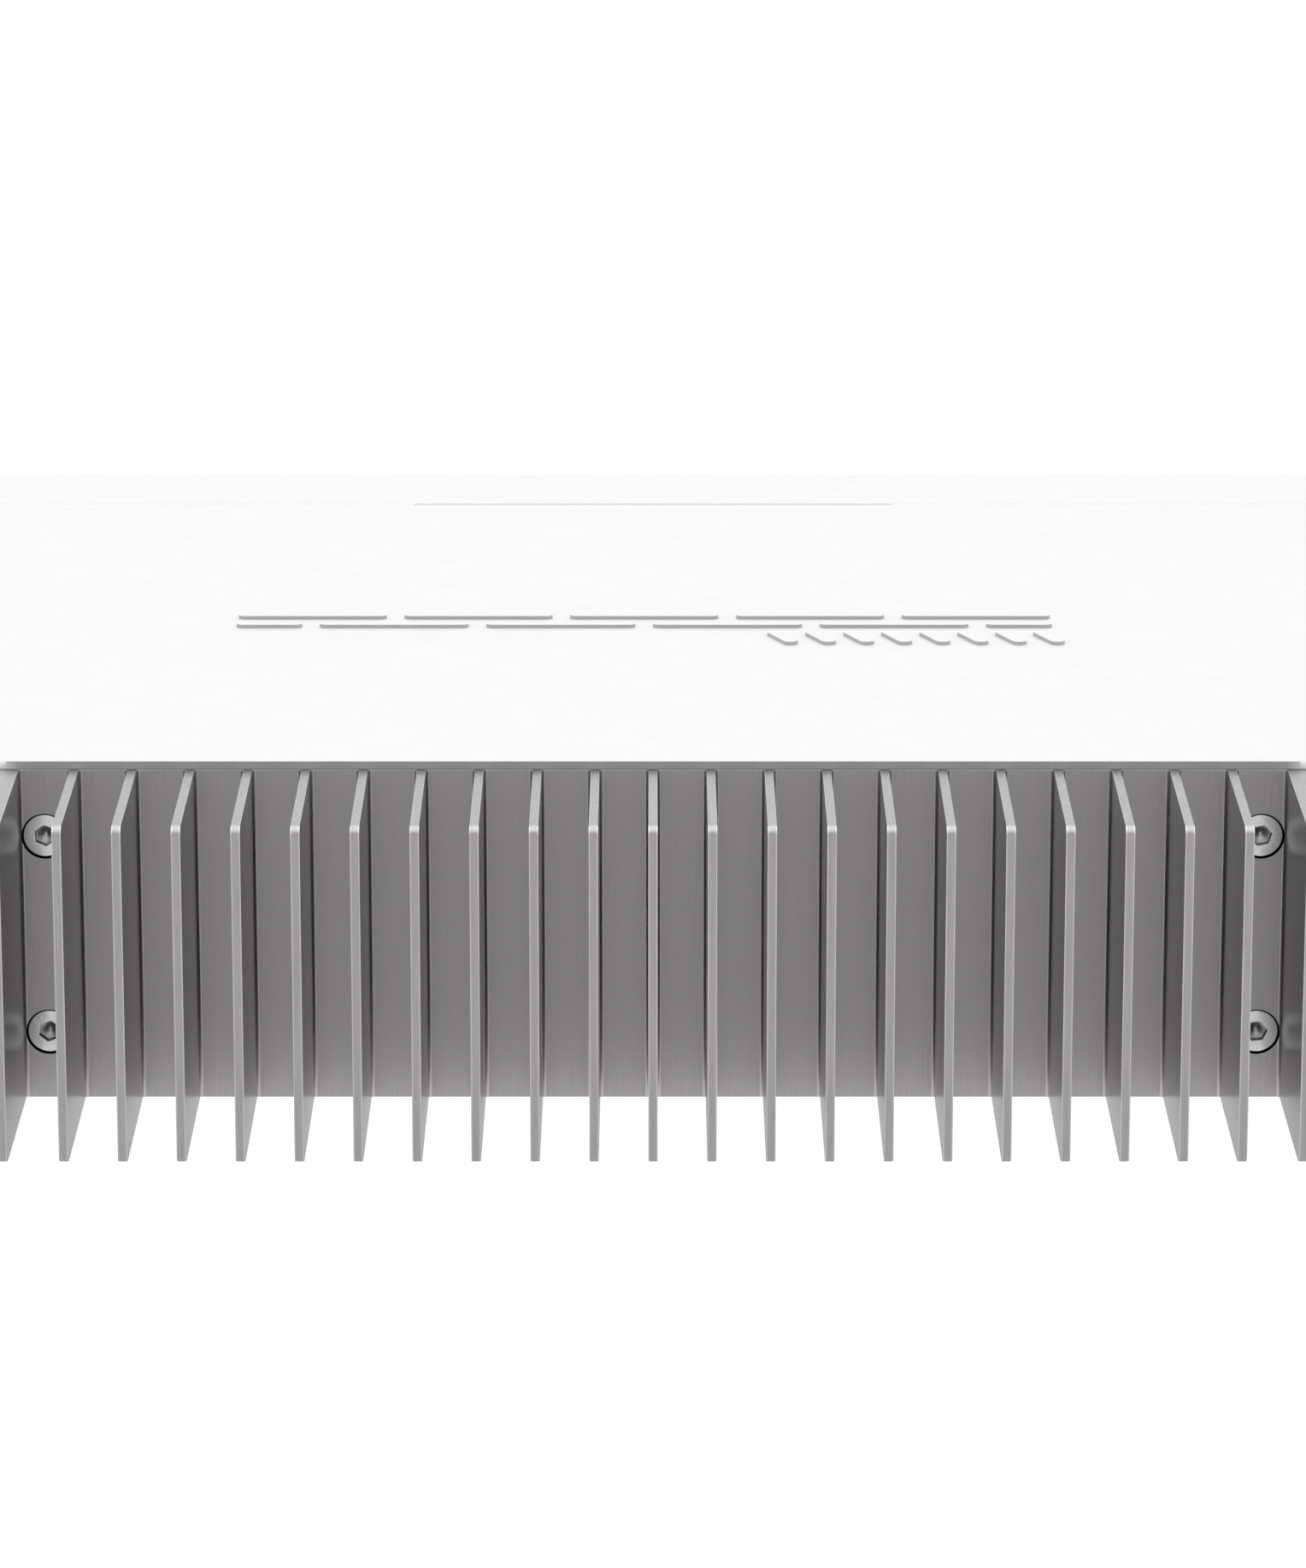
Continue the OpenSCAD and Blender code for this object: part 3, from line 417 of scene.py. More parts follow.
def drawn_aluminium(name, level, roughness):
    """Extruded aluminium: long grain on upright faces, saw grain on the ends, painted shade on fin sides, fin
    tips, base plate and screw recesses, a painted highlight on broken edges.
    """
    surface = Surface(name, (level, level * 0.97, level * 0.985), roughness, 1.0)
    upright = surface.noise((3.2, 3.2, 0.09), detail=4.0, rough=0.7)
    upright_fine = surface.noise((8.0, 8.0, 0.35), detail=3.0, rough=0.6)
    sawn = surface.noise((6.0, 0.9, 6.0), detail=4.0, rough=0.7)
    sawn_fine = surface.noise((6.0, 5.0, 6.0), detail=4.0, rough=0.8)
    normal = surface.axes(surface.true_normal())
    end = surface.math("GREATER_THAN", surface.math("ABSOLUTE", normal["Z"], 0.0), 0.7)
    grain = surface.mixed(end, upright, sawn)
    fine = surface.mixed(end, upright_fine, sawn_fine)
    both = surface.math("ADD", surface.math("MULTIPLY", grain, 0.6), surface.math("MULTIPLY", fine, 0.4))
    contrast = surface.mixed(end, 0.12, 0.24)
    swing = surface.math("MULTIPLY", surface.ranged(both, -1.0, 1.0, (0.32, 0.68)), contrast)
    place = surface.axes(surface.place)
    sideways = surface.math("ABSOLUTE", normal["X"], 0.0)
    side = surface.math("GREATER_THAN", sideways, 0.9)
    edge = surface.math("SUBTRACT", surface.math("GREATER_THAN", sideways, 0.15), side)
    plate = surface.math("LESS_THAN", place["Y"], (BASE_Y + 0.1) * MM)
    tip = surface.math("GREATER_THAN", place["Y"], (TIP_Y - 0.02) * MM)
    # painted light: shade on fin sides, base plate, fin tips and screw recesses, highlight on broken edges
    # and root fillets
    painted_light = surface.mixed(side, 1.0, FIN_SIDE_SHADE)
    shares = ((plate, BASE_PLATE_SHADE), (edge, EDGE_HIGHLIGHT), (tip, FIN_TIP_SHADE), (surface.recess(), RECESS_SHADE))
    for where, share in shares:
        painted_light = surface.math("MULTIPLY", painted_light, surface.mixed(where, 1.0, share))
    shade = surface.math("MULTIPLY", surface.math("ADD", swing, 1.0), painted_light)
    colour = surface.node("ShaderNodeCombineColor")
    warmth = {"Red": 1.0, "Green": 0.97, "Blue": 0.985}
    for channel, share in warmth.items():
        base = surface.mixed(end, level * share, level * SAWN_END)
        surface.link(surface.math("MULTIPLY", shade, base), colour.inputs[channel])
    surface.link(colour.outputs["Color"], surface.shader.inputs["Base Color"])
    drawn = surface.ranged(both, roughness - 0.05, roughness + 0.06, (0.32, 0.68))
    across = surface.math("ABSOLUTE", place["X"], 0.0)
    end_fin = surface.math("GREATER_THAN", across, (END_FIN_INNER - 0.5) * MM)
    flank = surface.mixed(end_fin, roughness * 0.75, roughness * 0.9)
    surface.link(surface.mixed(side, drawn, flank), surface.shader.inputs["Roughness"])
    surface.bump(both, 0.01)
    return surface.material


def plated_steel(name, colour, roughness, grain=9.0):
    """Plated steel with a fine speckle."""
    surface = Surface(name, colour, roughness, 1.0)
    speckle = surface.noise((grain, grain, grain), detail=3.0, rough=0.65)
    cloud = surface.noise((0.5, 0.5, 0.5), detail=3.0)
    surface.tint(speckle, 0.86, 1.1)
    surface.rough(cloud, roughness - 0.07, roughness + 0.08)
    surface.bump(speckle, 0.006)
    return surface.material


def blasted_head(name, level):
    """Bright face of a socket screw, with painted shade on the hexagon walls and flanks and a rougher drilled
    bottom.
    """
    surface = Surface(name, (level, level, level), 0.2, 1.0)
    speckle = surface.noise((4.0, 4.0, 4.0), detail=4.0, rough=0.75)
    height = surface.axes(surface.place)["Y"]
    face = BASE_Y - HEAD_RECESS
    bottom = face - HEX_DEPTH + 0.01
    walls_painted_shade = surface.between(height, bottom, face - 0.1)
    drilled = surface.math("LESS_THAN", height, bottom * MM)
    shine = surface.ranged(speckle, level * 0.8, level * 1.02, (0.35, 0.62))
    # painted shade: the hexagon walls and a band of the head's flanks are nearly black
    shade = surface.math("MULTIPLY", shine, surface.mixed(walls_painted_shade, 1.0, 0.04))
    colour = surface.node("ShaderNodeCombineColor")
    for channel in ("Red", "Green", "Blue"):
        surface.link(shade, colour.inputs[channel])
    surface.link(colour.outputs["Color"], surface.shader.inputs["Base Color"])
    polish = surface.ranged(speckle, 0.1, 0.18)
    surface.link(surface.mixed(drilled, polish, 0.36), surface.shader.inputs["Roughness"])
    surface.bump(speckle, 0.002)
    return surface.material


def moulded_plastic(name, colour, roughness, grain=5.0, height=0.01):
    """Moulded plastic or resin with a spark-eroded grain."""
    surface = Surface(name, colour, roughness)
    grit = surface.noise((grain, grain, grain), detail=3.0, rough=0.6)
    cloud = surface.noise((0.3, 0.3, 0.3), detail=2.0)
    surface.tint(cloud, 0.88, 1.12)
    surface.rough(grit, roughness - 0.08, roughness + 0.08)
    surface.bump(grit, height)
    return surface.material


def circuit_board():
    """Green solder mask over faint copper tracks."""
    surface = Surface("solder_mask", (0.02, 0.13, 0.05), 0.32)
    tracks = surface.node("ShaderNodeTexBrick")
    tracks.inputs["Scale"].default_value = 1.0
    tracks.inputs["Mortar Size"].default_value = 0.06
    tracks.inputs["Brick Width"].default_value = 4.0
    tracks.inputs["Row Height"].default_value = 0.6
    surface.link(surface.scaled((0.5, 0.5, 0.5)), tracks.inputs["Vector"])
    surface.tint(tracks.outputs["Fac"], 0.8, 1.9, (0.0, 1.0))
    surface.rough(surface.noise((3.0, 3.0, 3.0)), 0.28, 0.4)
    surface.bump(tracks.outputs["Fac"], 0.03)
    return surface.material


def wound_copper():
    """Turns of enamelled wire around a ring."""
    surface = Surface("enamelled_copper", (0.5, 0.22, 0.08), 0.3, 0.9)
    waves = surface.node("ShaderNodeTexWave")
    waves.wave_type = "RINGS"
    waves.inputs["Scale"].default_value = 1.0
    waves.inputs["Distortion"].default_value = 0.6
    surface.link(surface.scaled((0.5, 0.5, 0.5)), waves.inputs["Vector"])
    surface.tint(waves.outputs["Fac"], 0.6, 1.2, (0.0, 1.0))
    surface.rough(waves.outputs["Fac"], 0.24, 0.4, (0.0, 1.0))
    surface.bump(waves.outputs["Fac"], 0.12)
    return surface.material


def frosted_window(name, colour):
    """Frosted clear plastic of a light guide."""
    surface = Surface(name, colour, 0.35)
    surface.shader.inputs["Transmission Weight"].default_value = 0.5
    surface.shader.inputs["IOR"].default_value = 1.49
    haze = surface.noise((4.0, 4.0, 4.0), detail=3.0)
    surface.tint(haze, 0.94, 1.04)
    surface.rough(haze, 0.28, 0.42)
    surface.bump(haze, 0.006)
    return surface.material


# grey of the painted shade on the lid's cut rear edge and on the sides of the raised band
PAINTED_SHADE_GREY = 0.5
MATERIALS = {
    "white_case": powder_coat("white_powder_coat", 0.925),
    "white_screw": powder_coat("white_screw_paint", 0.84),
    # the lid's rear edge and the band's sides carry a grey painted shade
    "lid_coat": powder_coat("lid_powder_coat", 0.925, lid_edge_shade),
    "band_coat": powder_coat("band_coat", 0.925, band_side_shade),
    "heat_sink_aluminium": drawn_aluminium("extruded_aluminium", 0.59, 0.34),
    "steel_screw": plated_steel("screw_steel", (0.7, 0.7, 0.7), 0.38, 7.0),
    "cap_screw": blasted_head("cap_screw_steel", 0.98),
    "zinc_steel": plated_steel("zinc_steel", (0.6, 0.61, 0.63), 0.4, 6.0),
    "socket_shield": plated_steel("tinned_steel", (0.68, 0.68, 0.67), 0.3, 5.0),
    "brass": plated_steel("turned_brass", (0.75, 0.55, 0.22), 0.3),
    "gold_contact": plated_steel("gold_plate", (0.9, 0.66, 0.25), 0.22),
    "chip_cap": plated_steel("nickel_cap", (0.6, 0.6, 0.6), 0.38),
    "capacitor_can": plated_steel("capacitor_can", (0.68, 0.68, 0.7), 0.3),
    "foot_rubber": moulded_plastic("foot_rubber", (0.035, 0.035, 0.036), 0.75, 3.0, 0.03),
    "black_plastic": moulded_plastic("black_moulding", (0.022, 0.022, 0.023), 0.45),
    "button_plastic": moulded_plastic("grey_moulding", (0.55, 0.55, 0.55), 0.4),
    "chip_resin": moulded_plastic("chip_resin", (0.03, 0.03, 0.033), 0.55, 7.0),
    "ferrite": moulded_plastic("pressed_ferrite", (0.09, 0.09, 0.1), 0.6, 4.0, 0.02),
    "thermal_pad": moulded_plastic("thermal_pad", (0.35, 0.42, 0.52), 0.7, 2.0, 0.02),
    "led_resin": moulded_plastic("led_resin", (0.8, 0.75, 0.5), 0.25),
    "ceramic_fuse": moulded_plastic("ceramic_fuse", (0.78, 0.75, 0.65), 0.25),
    "circuit_board": circuit_board(),
    "copper_winding": wound_copper(),
    "clear_window": frosted_window("light_guide", (0.85, 0.9, 0.86)),
}


# ---------------------------------------------------------------------------
# Mesh helpers. Every mesh is written in millimetres and shrunk once.
# ---------------------------------------------------------------------------
def mesh_object(name, points, faces):
    mesh = bpy.data.meshes.new(name)
    mesh.from_pydata([tuple(Vector(p) * MM) for p in points], [], faces)
    mesh.validate()
    made = bpy.data.objects.new(name, mesh)
    bpy.context.scene.collection.objects.link(made)
    return made


def arc(cx, cy, radius, start, end, steps):
    """Points on an arc, angles in degrees, both ends included."""
    points = []
    for i in range(steps + 1):
        angle = math.radians(start + (end - start) * i / steps)
        points.append((cx + radius * math.cos(angle), cy + radius * math.sin(angle)))
    return points


def loft(rings):
    """Closed skin through rings of equal length, with a flat cap at both ends."""
    count = len(rings[0])
    points = [p for ring in rings for p in ring]
    faces = [tuple(reversed(range(count)))]
    for k in range(len(rings) - 1):
        for i in range(count):
            j = (i + 1) % count
            faces.append((k * count + i, k * count + j, (k + 1) * count + j, (k + 1) * count + i))
    faces.append(tuple((len(rings) - 1) * count + i for i in range(count)))
    return points, faces


def lathe(profile, turns=64):
    """Rings of a turned solid about Z, from a list of (radius, height)."""
    rings = []
    for radius, height in profile:
        ring = []
        for i in range(turns):
            angle = 2.0 * math.pi * i / turns
            ring.append((radius * math.cos(angle), radius * math.sin(angle), height))
        rings.append(ring)
    return loft(rings)


def prism(outline, low, high, taper=1.0):
    """An outline carried from low to high along Z; the lower end is the outline scaled by taper."""
    bottom = [(x * taper, y * taper, low) for x, y in outline]
    top = [(x, y, high) for x, y in outline]
    return loft([bottom, top])


def apply_modifiers(made):
    graph = bpy.context.evaluated_depsgraph_get()
    mesh = bpy.data.meshes.new_from_object(made.evaluated_get(graph))
    made.modifiers.clear()
    old = made.data
    made.data = mesh
    bpy.data.meshes.remove(old)


def carve(made, shape, operation="DIFFERENCE"):
    """Cuts a closed shape, a (points, faces) pair in millimetres, out of a piece, or adds it."""
    cutter = mesh_object("cutter", *shape)
    step = made.modifiers.new("carve", "BOOLEAN")
    step.operation = operation
    step.solver = "EXACT"
    step.object = cutter
    bpy.context.view_layer.update()
    apply_modifiers(made)
    spare = cutter.data
    bpy.data.objects.remove(cutter)
    bpy.data.meshes.remove(spare)


def moved(shape, matrix):
    points, faces = shape
    return [tuple(matrix @ Vector(p)) for p in points], faces


def joined(shapes):
    points, faces = [], []
    for shape_points, shape_faces in shapes:
        start = len(points)
        points += shape_points
        faces += [tuple(start + i for i in face) for face in shape_faces]
    return points, faces


def smooth(made, angle=35.0):
    """Smooth shading with sharp edges over the angle, weighted so that flat faces stay flat."""
    made.data.polygons.foreach_set("use_smooth", [True] * len(made.data.polygons))
    made.data.set_sharp_from_angle(angle=math.radians(angle))
    weighted = made.modifiers.new("weighted", "WEIGHTED_NORMAL")
    weighted.keep_sharp = True
    weighted.weight = 80


def bevel(made, width, segments=2, angle=40.0):
    rounding = made.modifiers.new("bevel", "BEVEL")
    rounding.width = width * MM
    rounding.segments = segments
    rounding.limit_method = "ANGLE"
    rounding.angle_limit = math.radians(angle)
    rounding.harden_normals = True


def dress(made, slot, nodes, body=BODY):
    """Gives a finished piece its material and its body, and hides the CAD nodes it stands for."""
    made.data.materials.clear()
    made.data.materials.append(MATERIALS[slot])
    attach(made, body)
    if nodes:
        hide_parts(*nodes)


# ---------------------------------------------------------------------------
# Heat sink
# ---------------------------------------------------------------------------
def fin_outline(x0, x1, inset, tip, rooted=(True, True)):
    """One fin's outline from its right root over its tip to its left root."""
    root_steps = 5
    points = []
    if rooted[1]:
        points += arc(x1 + ROOT_FILLET, BASE_Y + ROOT_FILLET, ROOT_FILLET + inset, 270, 180, root_steps)
    points += [(x1 - inset, tip - ARRIS_SIDE), (x1 - ARRIS_FRONT, tip - inset)]
    points += [(x0 + ARRIS_FRONT, tip - inset), (x0 + inset, tip - ARRIS_SIDE)]
    if rooted[0]:
        points += arc(x0 - ROOT_FILLET, BASE_Y + ROOT_FILLET, ROOT_FILLET + inset, 0, -90, root_steps)
    return points


def sink_ring(z, inset, tip):
    front = SINK_LOW.y + inset
    points = [(-END_FIN_OUTER + inset, front), (END_FIN_OUTER - inset, front)]
    points += fin_outline(END_FIN_INNER, END_FIN_OUTER, inset, tip, (True, False))
    for i in range(SIDE_FINS, -SIDE_FINS - 1, -1):
        middle = i * FIN_PITCH
        points += fin_outline(middle - FIN_THICKNESS / 2, middle + FIN_THICKNESS / 2, inset, tip)
    points += fin_outline(-END_FIN_OUTER, -END_FIN_INNER, inset, tip, (False, True))
    return [(x, y, z) for x, y in points]


def corner_setback(depth, drop, back):
    """How far a corner rounded as a quarter of an ellipse lies back at a depth below the end face."""
    if depth >= drop:
        return 0.0
    return back * (1.0 - math.sqrt(max(0.0, 1.0 - (1.0 - depth / drop) ** 2)))


def make_heat_sink():
    steps = 10
    depths = {TIP_DROP * (1.0 - math.cos(math.radians(90.0 * i / steps))) for i in range(steps + 1)}
    depths |= {CUT_EDGE * (1.0 - math.cos(math.radians(90.0 * i / 3))) for i in range(4)}
    depths = sorted(depths)
    rings = []
    for ends, direction, order in ((SINK_LOW.z, 1.0, depths), (SINK_HIGH.z, -1.0, depths[::-1])):
        for depth in order:
            inset = corner_setback(depth, CUT_EDGE, CUT_EDGE)
            tip = TIP_Y - corner_setback(depth, TIP_DROP, TIP_BACK)
            rings.append(sink_ring(ends + direction * depth, inset, tip))
    sink = mesh_object("heat_sink_body", *loft(rings))
    for side in (-1, 1):
        for z in SCREW_ZS:
            turn = Matrix.Translation((side * SCREW_X, 0.0, z)) @ Matrix.Rotation(math.radians(-90.0), 4, "X")
            seat = BASE_Y - HEAD_RECESS - 3.0
            bore = lathe([(1.7, SINK_LOW.y - 1), (1.7, seat), (2.95, seat), (2.95, BASE_Y + 3)], 96)
            carve(sink, moved(bore, turn))
    smooth(sink, 22.0)
    dress(sink, "heat_sink_aluminium", ["heat_sink"])


make_heat_sink()


# ---------------------------------------------------------------------------
# Screws
# ---------------------------------------------------------------------------
def hexagon(flats):
    radius = flats / math.sqrt(3.0)
    angles = [math.radians(60 * i) for i in range(6)]
    return [(radius * math.cos(angle), radius * math.sin(angle)) for angle in angles]


def cap_screw(length):
    """M3 socket screw with its head's face at height 0."""
    edge = 0.1
    head = 2.75
    profile = [(1.45, -3.0 - length), (1.45, -3.0), (head - 0.1, -3.0), (head, -2.9), (head, -edge)]
    profile += [(head - edge + r, -edge + h) for r, h in arc(0, 0, edge, 0, 90, 4)[1:]]
    profile.append((0.02, 0.0))
    screw = mesh_object("cap_screw", *lathe(profile, 96))
    carve(screw, prism(hexagon(2.5), -HEX_DEPTH, 1.0))
    drilled = [(0.01, -HEX_DEPTH - 0.7), (0.5, -HEX_DEPTH - 0.42), (1.23, -HEX_DEPTH), (1.23, -0.9)]
    carve(screw, lathe(drilled, 64))
    return screw


def copies(source, name, places):
    """One object made of a source mesh at several places; the source is used up."""
    work = bmesh.new()
    for place in places:
        before = len(work.verts)
        work.from_mesh(source.data)
        work.verts.ensure_lookup_table()
        matrix = Matrix.Scale(MM, 4) @ place @ Matrix.Scale(1.0 / MM, 4)
        bmesh.ops.transform(work, matrix=matrix, verts=work.verts[before:])
    mesh = bpy.data.meshes.new(name)
    work.to_mesh(mesh)
    work.free()
    made = bpy.data.objects.new(name, mesh)
    bpy.context.scene.collection.objects.link(made)
    spare = source.data
    bpy.data.objects.remove(source)
    bpy.data.meshes.remove(spare)
    return made


def facing(direction):
    """Rotation that carries +Z to a direction along an axis."""
    return Vector(direction).to_track_quat("Z", "Y").to_matrix().to_4x4()


def make_sink_screws():
    turns = {(-1, 0): 5, (-1, 1): 12, (1, 0): 22, (1, 1): 35}
    places = []
    for (side, level), turn in turns.items():
        spot = Matrix.Translation((side * SCREW_X, BASE_Y - HEAD_RECESS, SCREW_ZS[level]))
        places.append(spot @ facing((0, 1, 0)) @ Matrix.Rotation(math.radians(turn), 4, "Z"))
    screws = copies(cap_screw(6.0), "heat_sink_cap_screws", places)
    smooth(screws)
    dress(screws, "steel_screw", ["heat_sink_screws"])
    screws.data.materials[0] = MATERIALS["cap_screw"]


make_sink_screws()


# ---------------------------------------------------------------------------
# Case screws
# ---------------------------------------------------------------------------
def carve_cross(made, arm, slot, depth):
    """Cross recess with leaning walls and a pointed middle, in a face at height 0."""
    corners = [(-arm / 2, -slot / 2), (arm / 2, -slot / 2), (arm / 2, slot / 2), (-arm / 2, slot / 2)]
    wedge = prism(corners, -depth, 0.5, 0.6)
    for turn in (0.0, 90.0):
        carve(made, moved(wedge, Matrix.Rotation(math.radians(turn), 4, "Z")))
    carve(made, lathe([(0.01, -depth - 0.3), (slot * 0.9, -depth * 0.3), (slot * 0.9, 0.5)], 24))


def flat_screw(length):
    """M3 flat screw with its head's face at height 0."""
    profile = [(0.9, -length), (1.42, -length + 0.5), (1.42, -1.3), (1.8, -1.0)]
    profile += [(2.72, -0.08), (2.76, -0.03), (2.7, 0.0), (0.02, -0.03)]
    screw = mesh_object("flat_screw", *lathe(profile, 64))
    carve_cross(screw, 3.0, 0.66, 0.9)
    return screw


def place_flat_screws(name, slot, node, length, spots, direction):
    places = []
    for index, spot in enumerate(spots):
        heading = direction(spot) if callable(direction) else direction
        turn = Matrix.Rotation(math.radians(17.0 + 38.0 * index), 4, "Z")
        places.append(Matrix.Translation(spot) @ facing(heading) @ turn)
    screws = copies(flat_screw(length), name, places)
    smooth(screws)
    dress(screws, slot, [node])


def outward(spot):
    """The direction that the case's side at a spot faces."""
    return (spot[0], 0, 0)


def make_flat_screws():
    rear = [(side * LID_SCREW_X, LID_SCREW_Y, LID_HIGH.z) for side in (-1, 1)]
    sides = [(side * LID_HIGH.x, y, SIDE_SCREW_Z) for side in (-1, 1) for y in SIDE_SCREW_YS]
    front = [(x, PANEL_SCREW_Y, PANEL_LOW.z) for x in PANEL_SCREW_XS]
    brackets = [(side * x, BRACKET_SCREW_Y, TRAY_LOW.z) for side in (-1, 1) for x in BRACKET_SCREW_XS]
    place_flat_screws("lid_rear_flat_screws", "white_screw", "lid_rear_screws", 5.0, rear, (0, 0, 1))
    place_flat_screws("lid_side_flat_screws", "white_screw", "lid_side_screws", 4.5, sides, outward)
    place_flat_screws("panel_flat_screws", "steel_screw", "front_panel_screws", 4.5, front, (0, 0, -1))
    place_flat_screws("bracket_flat_screws", "steel_screw", "bracket_screws", 4.5, brackets, (0, 0, -1))


make_flat_screws()


# ---------------------------------------------------------------------------
# Power side: grounding screw and power sockets
# ---------------------------------------------------------------------------
def toothed_ring(inner, root, tip, teeth, low, high):
    """Flat ring with slightly twisted teeth outside."""
    twist = 0.13
    steps = ((0.0, root, 0.0), (0.18, tip, twist), (0.5, tip, -twist), (0.68, root, 0.0))
    loops = [[], [], [], []]
    for i in range(teeth):
        for share, radius, lift in steps:
            angle = 2.0 * math.pi * (i + share) / teeth
            direction = (math.cos(angle), math.sin(angle))
            loops[0].append((inner * direction[0], inner * direction[1], low))
            loops[1].append((radius * direction[0], radius * direction[1], low + lift))
            loops[2].append((radius * direction[0], radius * direction[1], high + lift))
            loops[3].append((inner * direction[0], inner * direction[1], high))
    count = len(loops[0])
    points = [p for loop in loops for p in loop]
    faces = []
    for k in range(4):
        for i in range(count):
            j = (i + 1) % count
            following = (k + 1) % 4
            faces.append((k * count + j, k * count + i, following * count + i, following * count + j))
    return points, faces


def make_ground_screw():
    head = 2.6
    place = Matrix.Translation((GROUND_X, REAR_PANEL + 0.8 + head, GROUND_Z)) @ facing((0, 1, 0))
    profile = [(1.5, -head - 7.0), (1.9, -head - 6.4), (1.9, -head), (3.6, -head)]
    profile += [(3.9, -head + 0.25), (3.9, -1.4)] + arc(2.5, -1.4, 1.4, 0, 90, 8)[1:] + [(0.02, 0.0)]
    screw = mesh_object("pan_screw", *lathe(profile, 72))
    carve_cross(screw, 4.4, 0.95, 1.5)
    screw = copies(screw, "grounding_pan_screw", [place @ Matrix.Rotation(math.radians(28.0), 4, "Z")])
    smooth(screw)
    dress(screw, "steel_screw", ["ground_screw"])
    seat = Matrix.Translation((GROUND_X, REAR_PANEL, GROUND_Z)) @ facing((0, 1, 0))
    washer = mesh_object("toothed_washer", *moved(toothed_ring(2.1, 3.7, 4.6, 14, 0.14, 0.66), seat))
    smooth(washer, 25.0)
    dress(washer, "zinc_steel", ["ground_washer"])


def rounded_box(width, depth, radius):
    """Outline of a rectangle with round corners, centred."""
    points = []
    for cx, cy, start in ((1, 1, 0), (-1, 1, 90), (-1, -1, 180), (1, -1, 270)):
        points += arc(cx * (width / 2 - radius), cy * (depth / 2 - radius), radius, start, start + 90, 5)
    return points


def make_power_jacks():
    """Barrel sockets behind the round windows: moulded body, collar round the bore, pin and spring leaf."""
    face = REAR_PANEL - 1.0
    metal = []
    for index, x in enumerate(JACK_XS, 1):
        place = Matrix.Translation((x, face, JACK_AXIS_Z)) @ facing((0, 1, 0))
        body = moved(prism(rounded_box(9.0, 11.0, 0.5), -14.0, -0.5), Matrix.Translation((0.0, -0.5, 0.0)))
        jack = mesh_object("power_socket_" + str(index), *moved(body, place))
        collar = lathe([(4.1, -1.0), (4.1, -0.12), (3.98, 0.0), (0.02, 0.0)], 72)
        carve(jack, moved(collar, place), "UNION")
        bore = lathe([(3.15, -10.0), (3.15, -0.4), (3.5, 0.05), (3.5, 1.0)], 72)
        carve(jack, moved(bore, place))
        smooth(jack)
        dress(jack, "black_plastic", ["power_jack_" + str(index)])
        pin = lathe([(1.0, -10.2), (1.0, -1.75)] + arc(0.35, -1.75, 0.65, 0, 90, 6)[1:] + [(0.02, -1.1)], 40)
        metal.append(moved(pin, place))
        leaf = ribbon([(-9.6, -2.9), (-6.0, -2.6), (-3.4, -2.35), (-2.2, -2.7), (-1.6, -3.05)], 2.2, 0.25)
        metal.append(moved(leaf, Matrix.Translation((x, face, JACK_AXIS_Z))))
    pins = mesh_object("power_socket_metal", *joined(metal))
    smooth(pins)
    dress(pins, "zinc_steel", ["power_jack_pins"])


def ribbon(path, width, thickness):
    """Bent strip with round edges: path points are (Y, Z), the strip lies across X."""
    rings = []
    for index, (y, z) in enumerate(path):
        before = path[max(index - 1, 0)]
        after = path[min(index + 1, len(path) - 1)]
        along = Vector((after[0] - before[0], after[1] - before[1])).normalized()
        normal = Vector((-along.y, along.x))
        ring = []
        for step in range(12):
            angle = 2.0 * math.pi * step / 12
            across = max(-1.0, min(1.0, 1.35 * math.cos(angle))) * width / 2
            out = max(-1.0, min(1.0, 1.35 * math.sin(angle))) * thickness / 2
            ring.append((across, y + normal.x * out, z + normal.y * out))
        rings.append(ring)
    return loft(rings)


make_ground_screw()
make_power_jacks()


# ---------------------------------------------------------------------------
# Front: socket contacts, status lights, reset button
# ---------------------------------------------------------------------------
def port_contacts(x, z, latch):
    """Eight sprung wires of one socket: up from its wall, along the slope and round at the free end."""
    wall = 3.2
    path = [(3.4, wall), (4.2, wall), (5.0, wall - 0.12)]
    path += [(10.4, wall - 1.75), (11.0, wall - 1.78), (11.5, wall - 1.55)]
    shapes = []
    for i in range(8):
        wire = [(SOCKET_FRONT + y, z - latch * rise) for y, rise in path]
        shapes.append(moved(ribbon(wire, 0.44, 0.24), Matrix.Translation((x + (i - 3.5) * 1.02, 0.0, 0.0))))
    return shapes


def make_contacts():
    middle = BOARD_TOP + BLOCK_ABOVE_BOARD
    for name, block_x in BLOCK_XS.items():
        shapes = []
        for column in (-1.5, -0.5, 0.5, 1.5):
            for latch in (-1, 1):
                shapes += port_contacts(block_x + column * PORT_PITCH, middle + latch * PORT_ROW, latch)
        wires = mesh_object("network_contacts_" + name, *joined(shapes))
        smooth(wires, 50.0)
        dress(wires, "gold_contact", ["ethernet_contacts_" + name])
    shapes = port_contacts(CONSOLE_X, BOARD_TOP + CONSOLE_ABOVE_BOARD, -1)
    wires = mesh_object("console_wires", *joined(shapes))
    smooth(wires, 50.0)
    dress(wires, "gold_contact", ["console_contacts"])


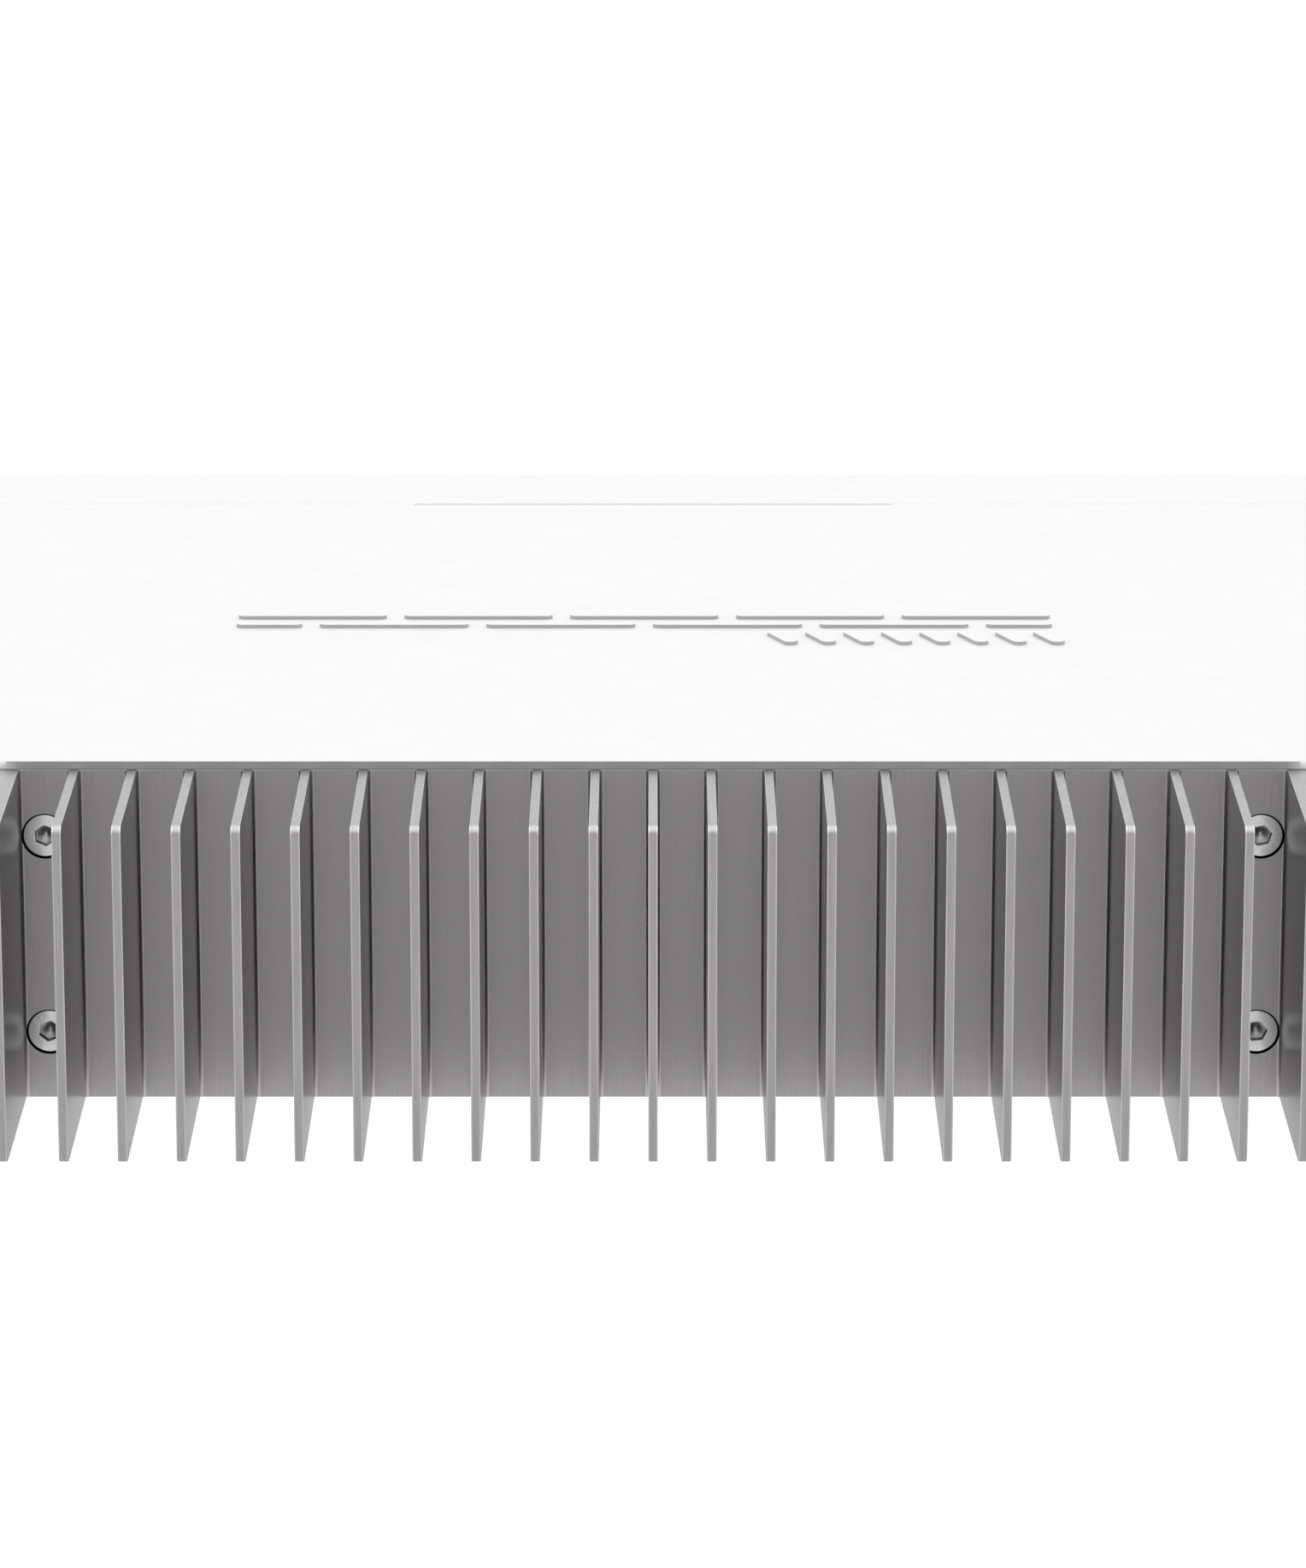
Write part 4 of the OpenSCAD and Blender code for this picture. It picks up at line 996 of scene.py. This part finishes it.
def make_status_lights():
    """Light guides: a domed rod through the panel on a square stem down to its light."""
    stem_back = 8.0
    slopes = [math.radians(degrees) for degrees in range(10, 90, 10)]
    dome = [(1.4 * math.cos(slope), -0.5 + 0.5 * math.sin(slope)) for slope in slopes]
    shapes = []
    for i in range(4):
        x = STATUS_X + STATUS_PITCH * i
        place = Matrix.Translation((x, PANEL_LOW.y, STATUS_Z)) @ facing((0, -1, 0))
        rod = lathe([(1.3, -stem_back), (1.4, -stem_back + 0.1), (1.4, -0.5)] + dome + [(0.02, 0.0)], 48)
        shapes.append(moved(rod, place))
        stem = prism(rounded_box(2.3, 2.3, 0.3), BOARD_TOP + 1.2, STATUS_Z + 1.15)
        shapes.append(moved(stem, Matrix.Translation((x, PANEL_LOW.y + stem_back - 1.2, 0.0))))
    guides = mesh_object("status_light_guides", *joined(shapes))
    smooth(guides)
    dress(guides, "clear_window", ["status_light_pipes"])


def make_reset_button():
    """Dished round button with the collar that keeps it in the panel."""
    profile = [(1.4, -5.4), (1.5, -5.3), (1.5, -2.1), (2.1, -2.1), (2.2, -2.0), (2.2, -1.4), (2.1, -1.3)]
    profile += [(1.5, -1.3), (1.5, -0.18), (1.45, -0.05), (1.32, 0.0), (1.05, 0.0)]
    profile += [(0.7, -0.08), (0.3, -0.12), (0.02, -0.12)]
    spot = (RESET_X, PANEL_LOW.y + RESET_PROUD, BOARD_TOP + RESET_ABOVE_BOARD)
    place = Matrix.Translation(spot) @ facing((0, -1, 0))
    button = mesh_object("reset_push_button", *moved(lathe(profile, 56), place))
    smooth(button)
    dress(button, "button_plastic", ["reset_button"], "reset_button")


make_contacts()
make_status_lights()
make_reset_button()


# ---------------------------------------------------------------------------
# Feet
# ---------------------------------------------------------------------------
def make_feet():
    """Four rubber feet with a soft edge and a dished sole."""
    profile = [(0.02, 0.3), (2.6, 0.3), (2.95, 0.06), (3.2, 0.0), (5.1, 0.0), (5.36, 0.06), (5.52, 0.26)]
    profile += [(5.94, 1.85), (5.98, 2.0), (0.02, 2.0)]
    foot = lathe(profile, 72)
    spots = [(x, y, 0.0) for x in FOOT_XS for y in FOOT_YS]
    feet = mesh_object("rubber_feet_set", *joined([moved(foot, Matrix.Translation(spot)) for spot in spots]))
    smooth(feet)
    dress(feet, "foot_rubber", ["rubber_feet"])


make_feet()


# ---------------------------------------------------------------------------
# CAD nodes that keep their shape
# ---------------------------------------------------------------------------
EDGES = {
    "top_lid": 0.03, "lid_band": 0.03, "front_panel": 0.1, "chassis_tray": 0.08,
    "ethernet_shield_left": 0.08, "ethernet_shield_right": 0.08, "console_shield": 0.08,
    "ethernet_insert_left": 0.1, "ethernet_insert_right": 0.1, "console_insert": 0.1,
    "module_cage_1": 0.08, "module_cage_2": 0.08, "module_connector_1": 0.12, "module_connector_2": 0.12,
    "link_light_windows": 0.06, "heat_sink_bracket_left": 0.1, "heat_sink_bracket_right": 0.1,
}
OWN_MATERIALS = {"top_lid": "lid_coat", "lid_band": "band_coat"}


def finish_cad_nodes():
    slots = {entry["node"]: entry["material_slot"] for entry in frame["record"]["subparts"]}
    for name, node in NODES.items():
        node.data.materials.clear()
        node.data.materials.append(MATERIALS[OWN_MATERIALS.get(name, slots[name])])
        if name in EDGES:
            bevel(node, EDGES[name])


finish_cad_nodes()
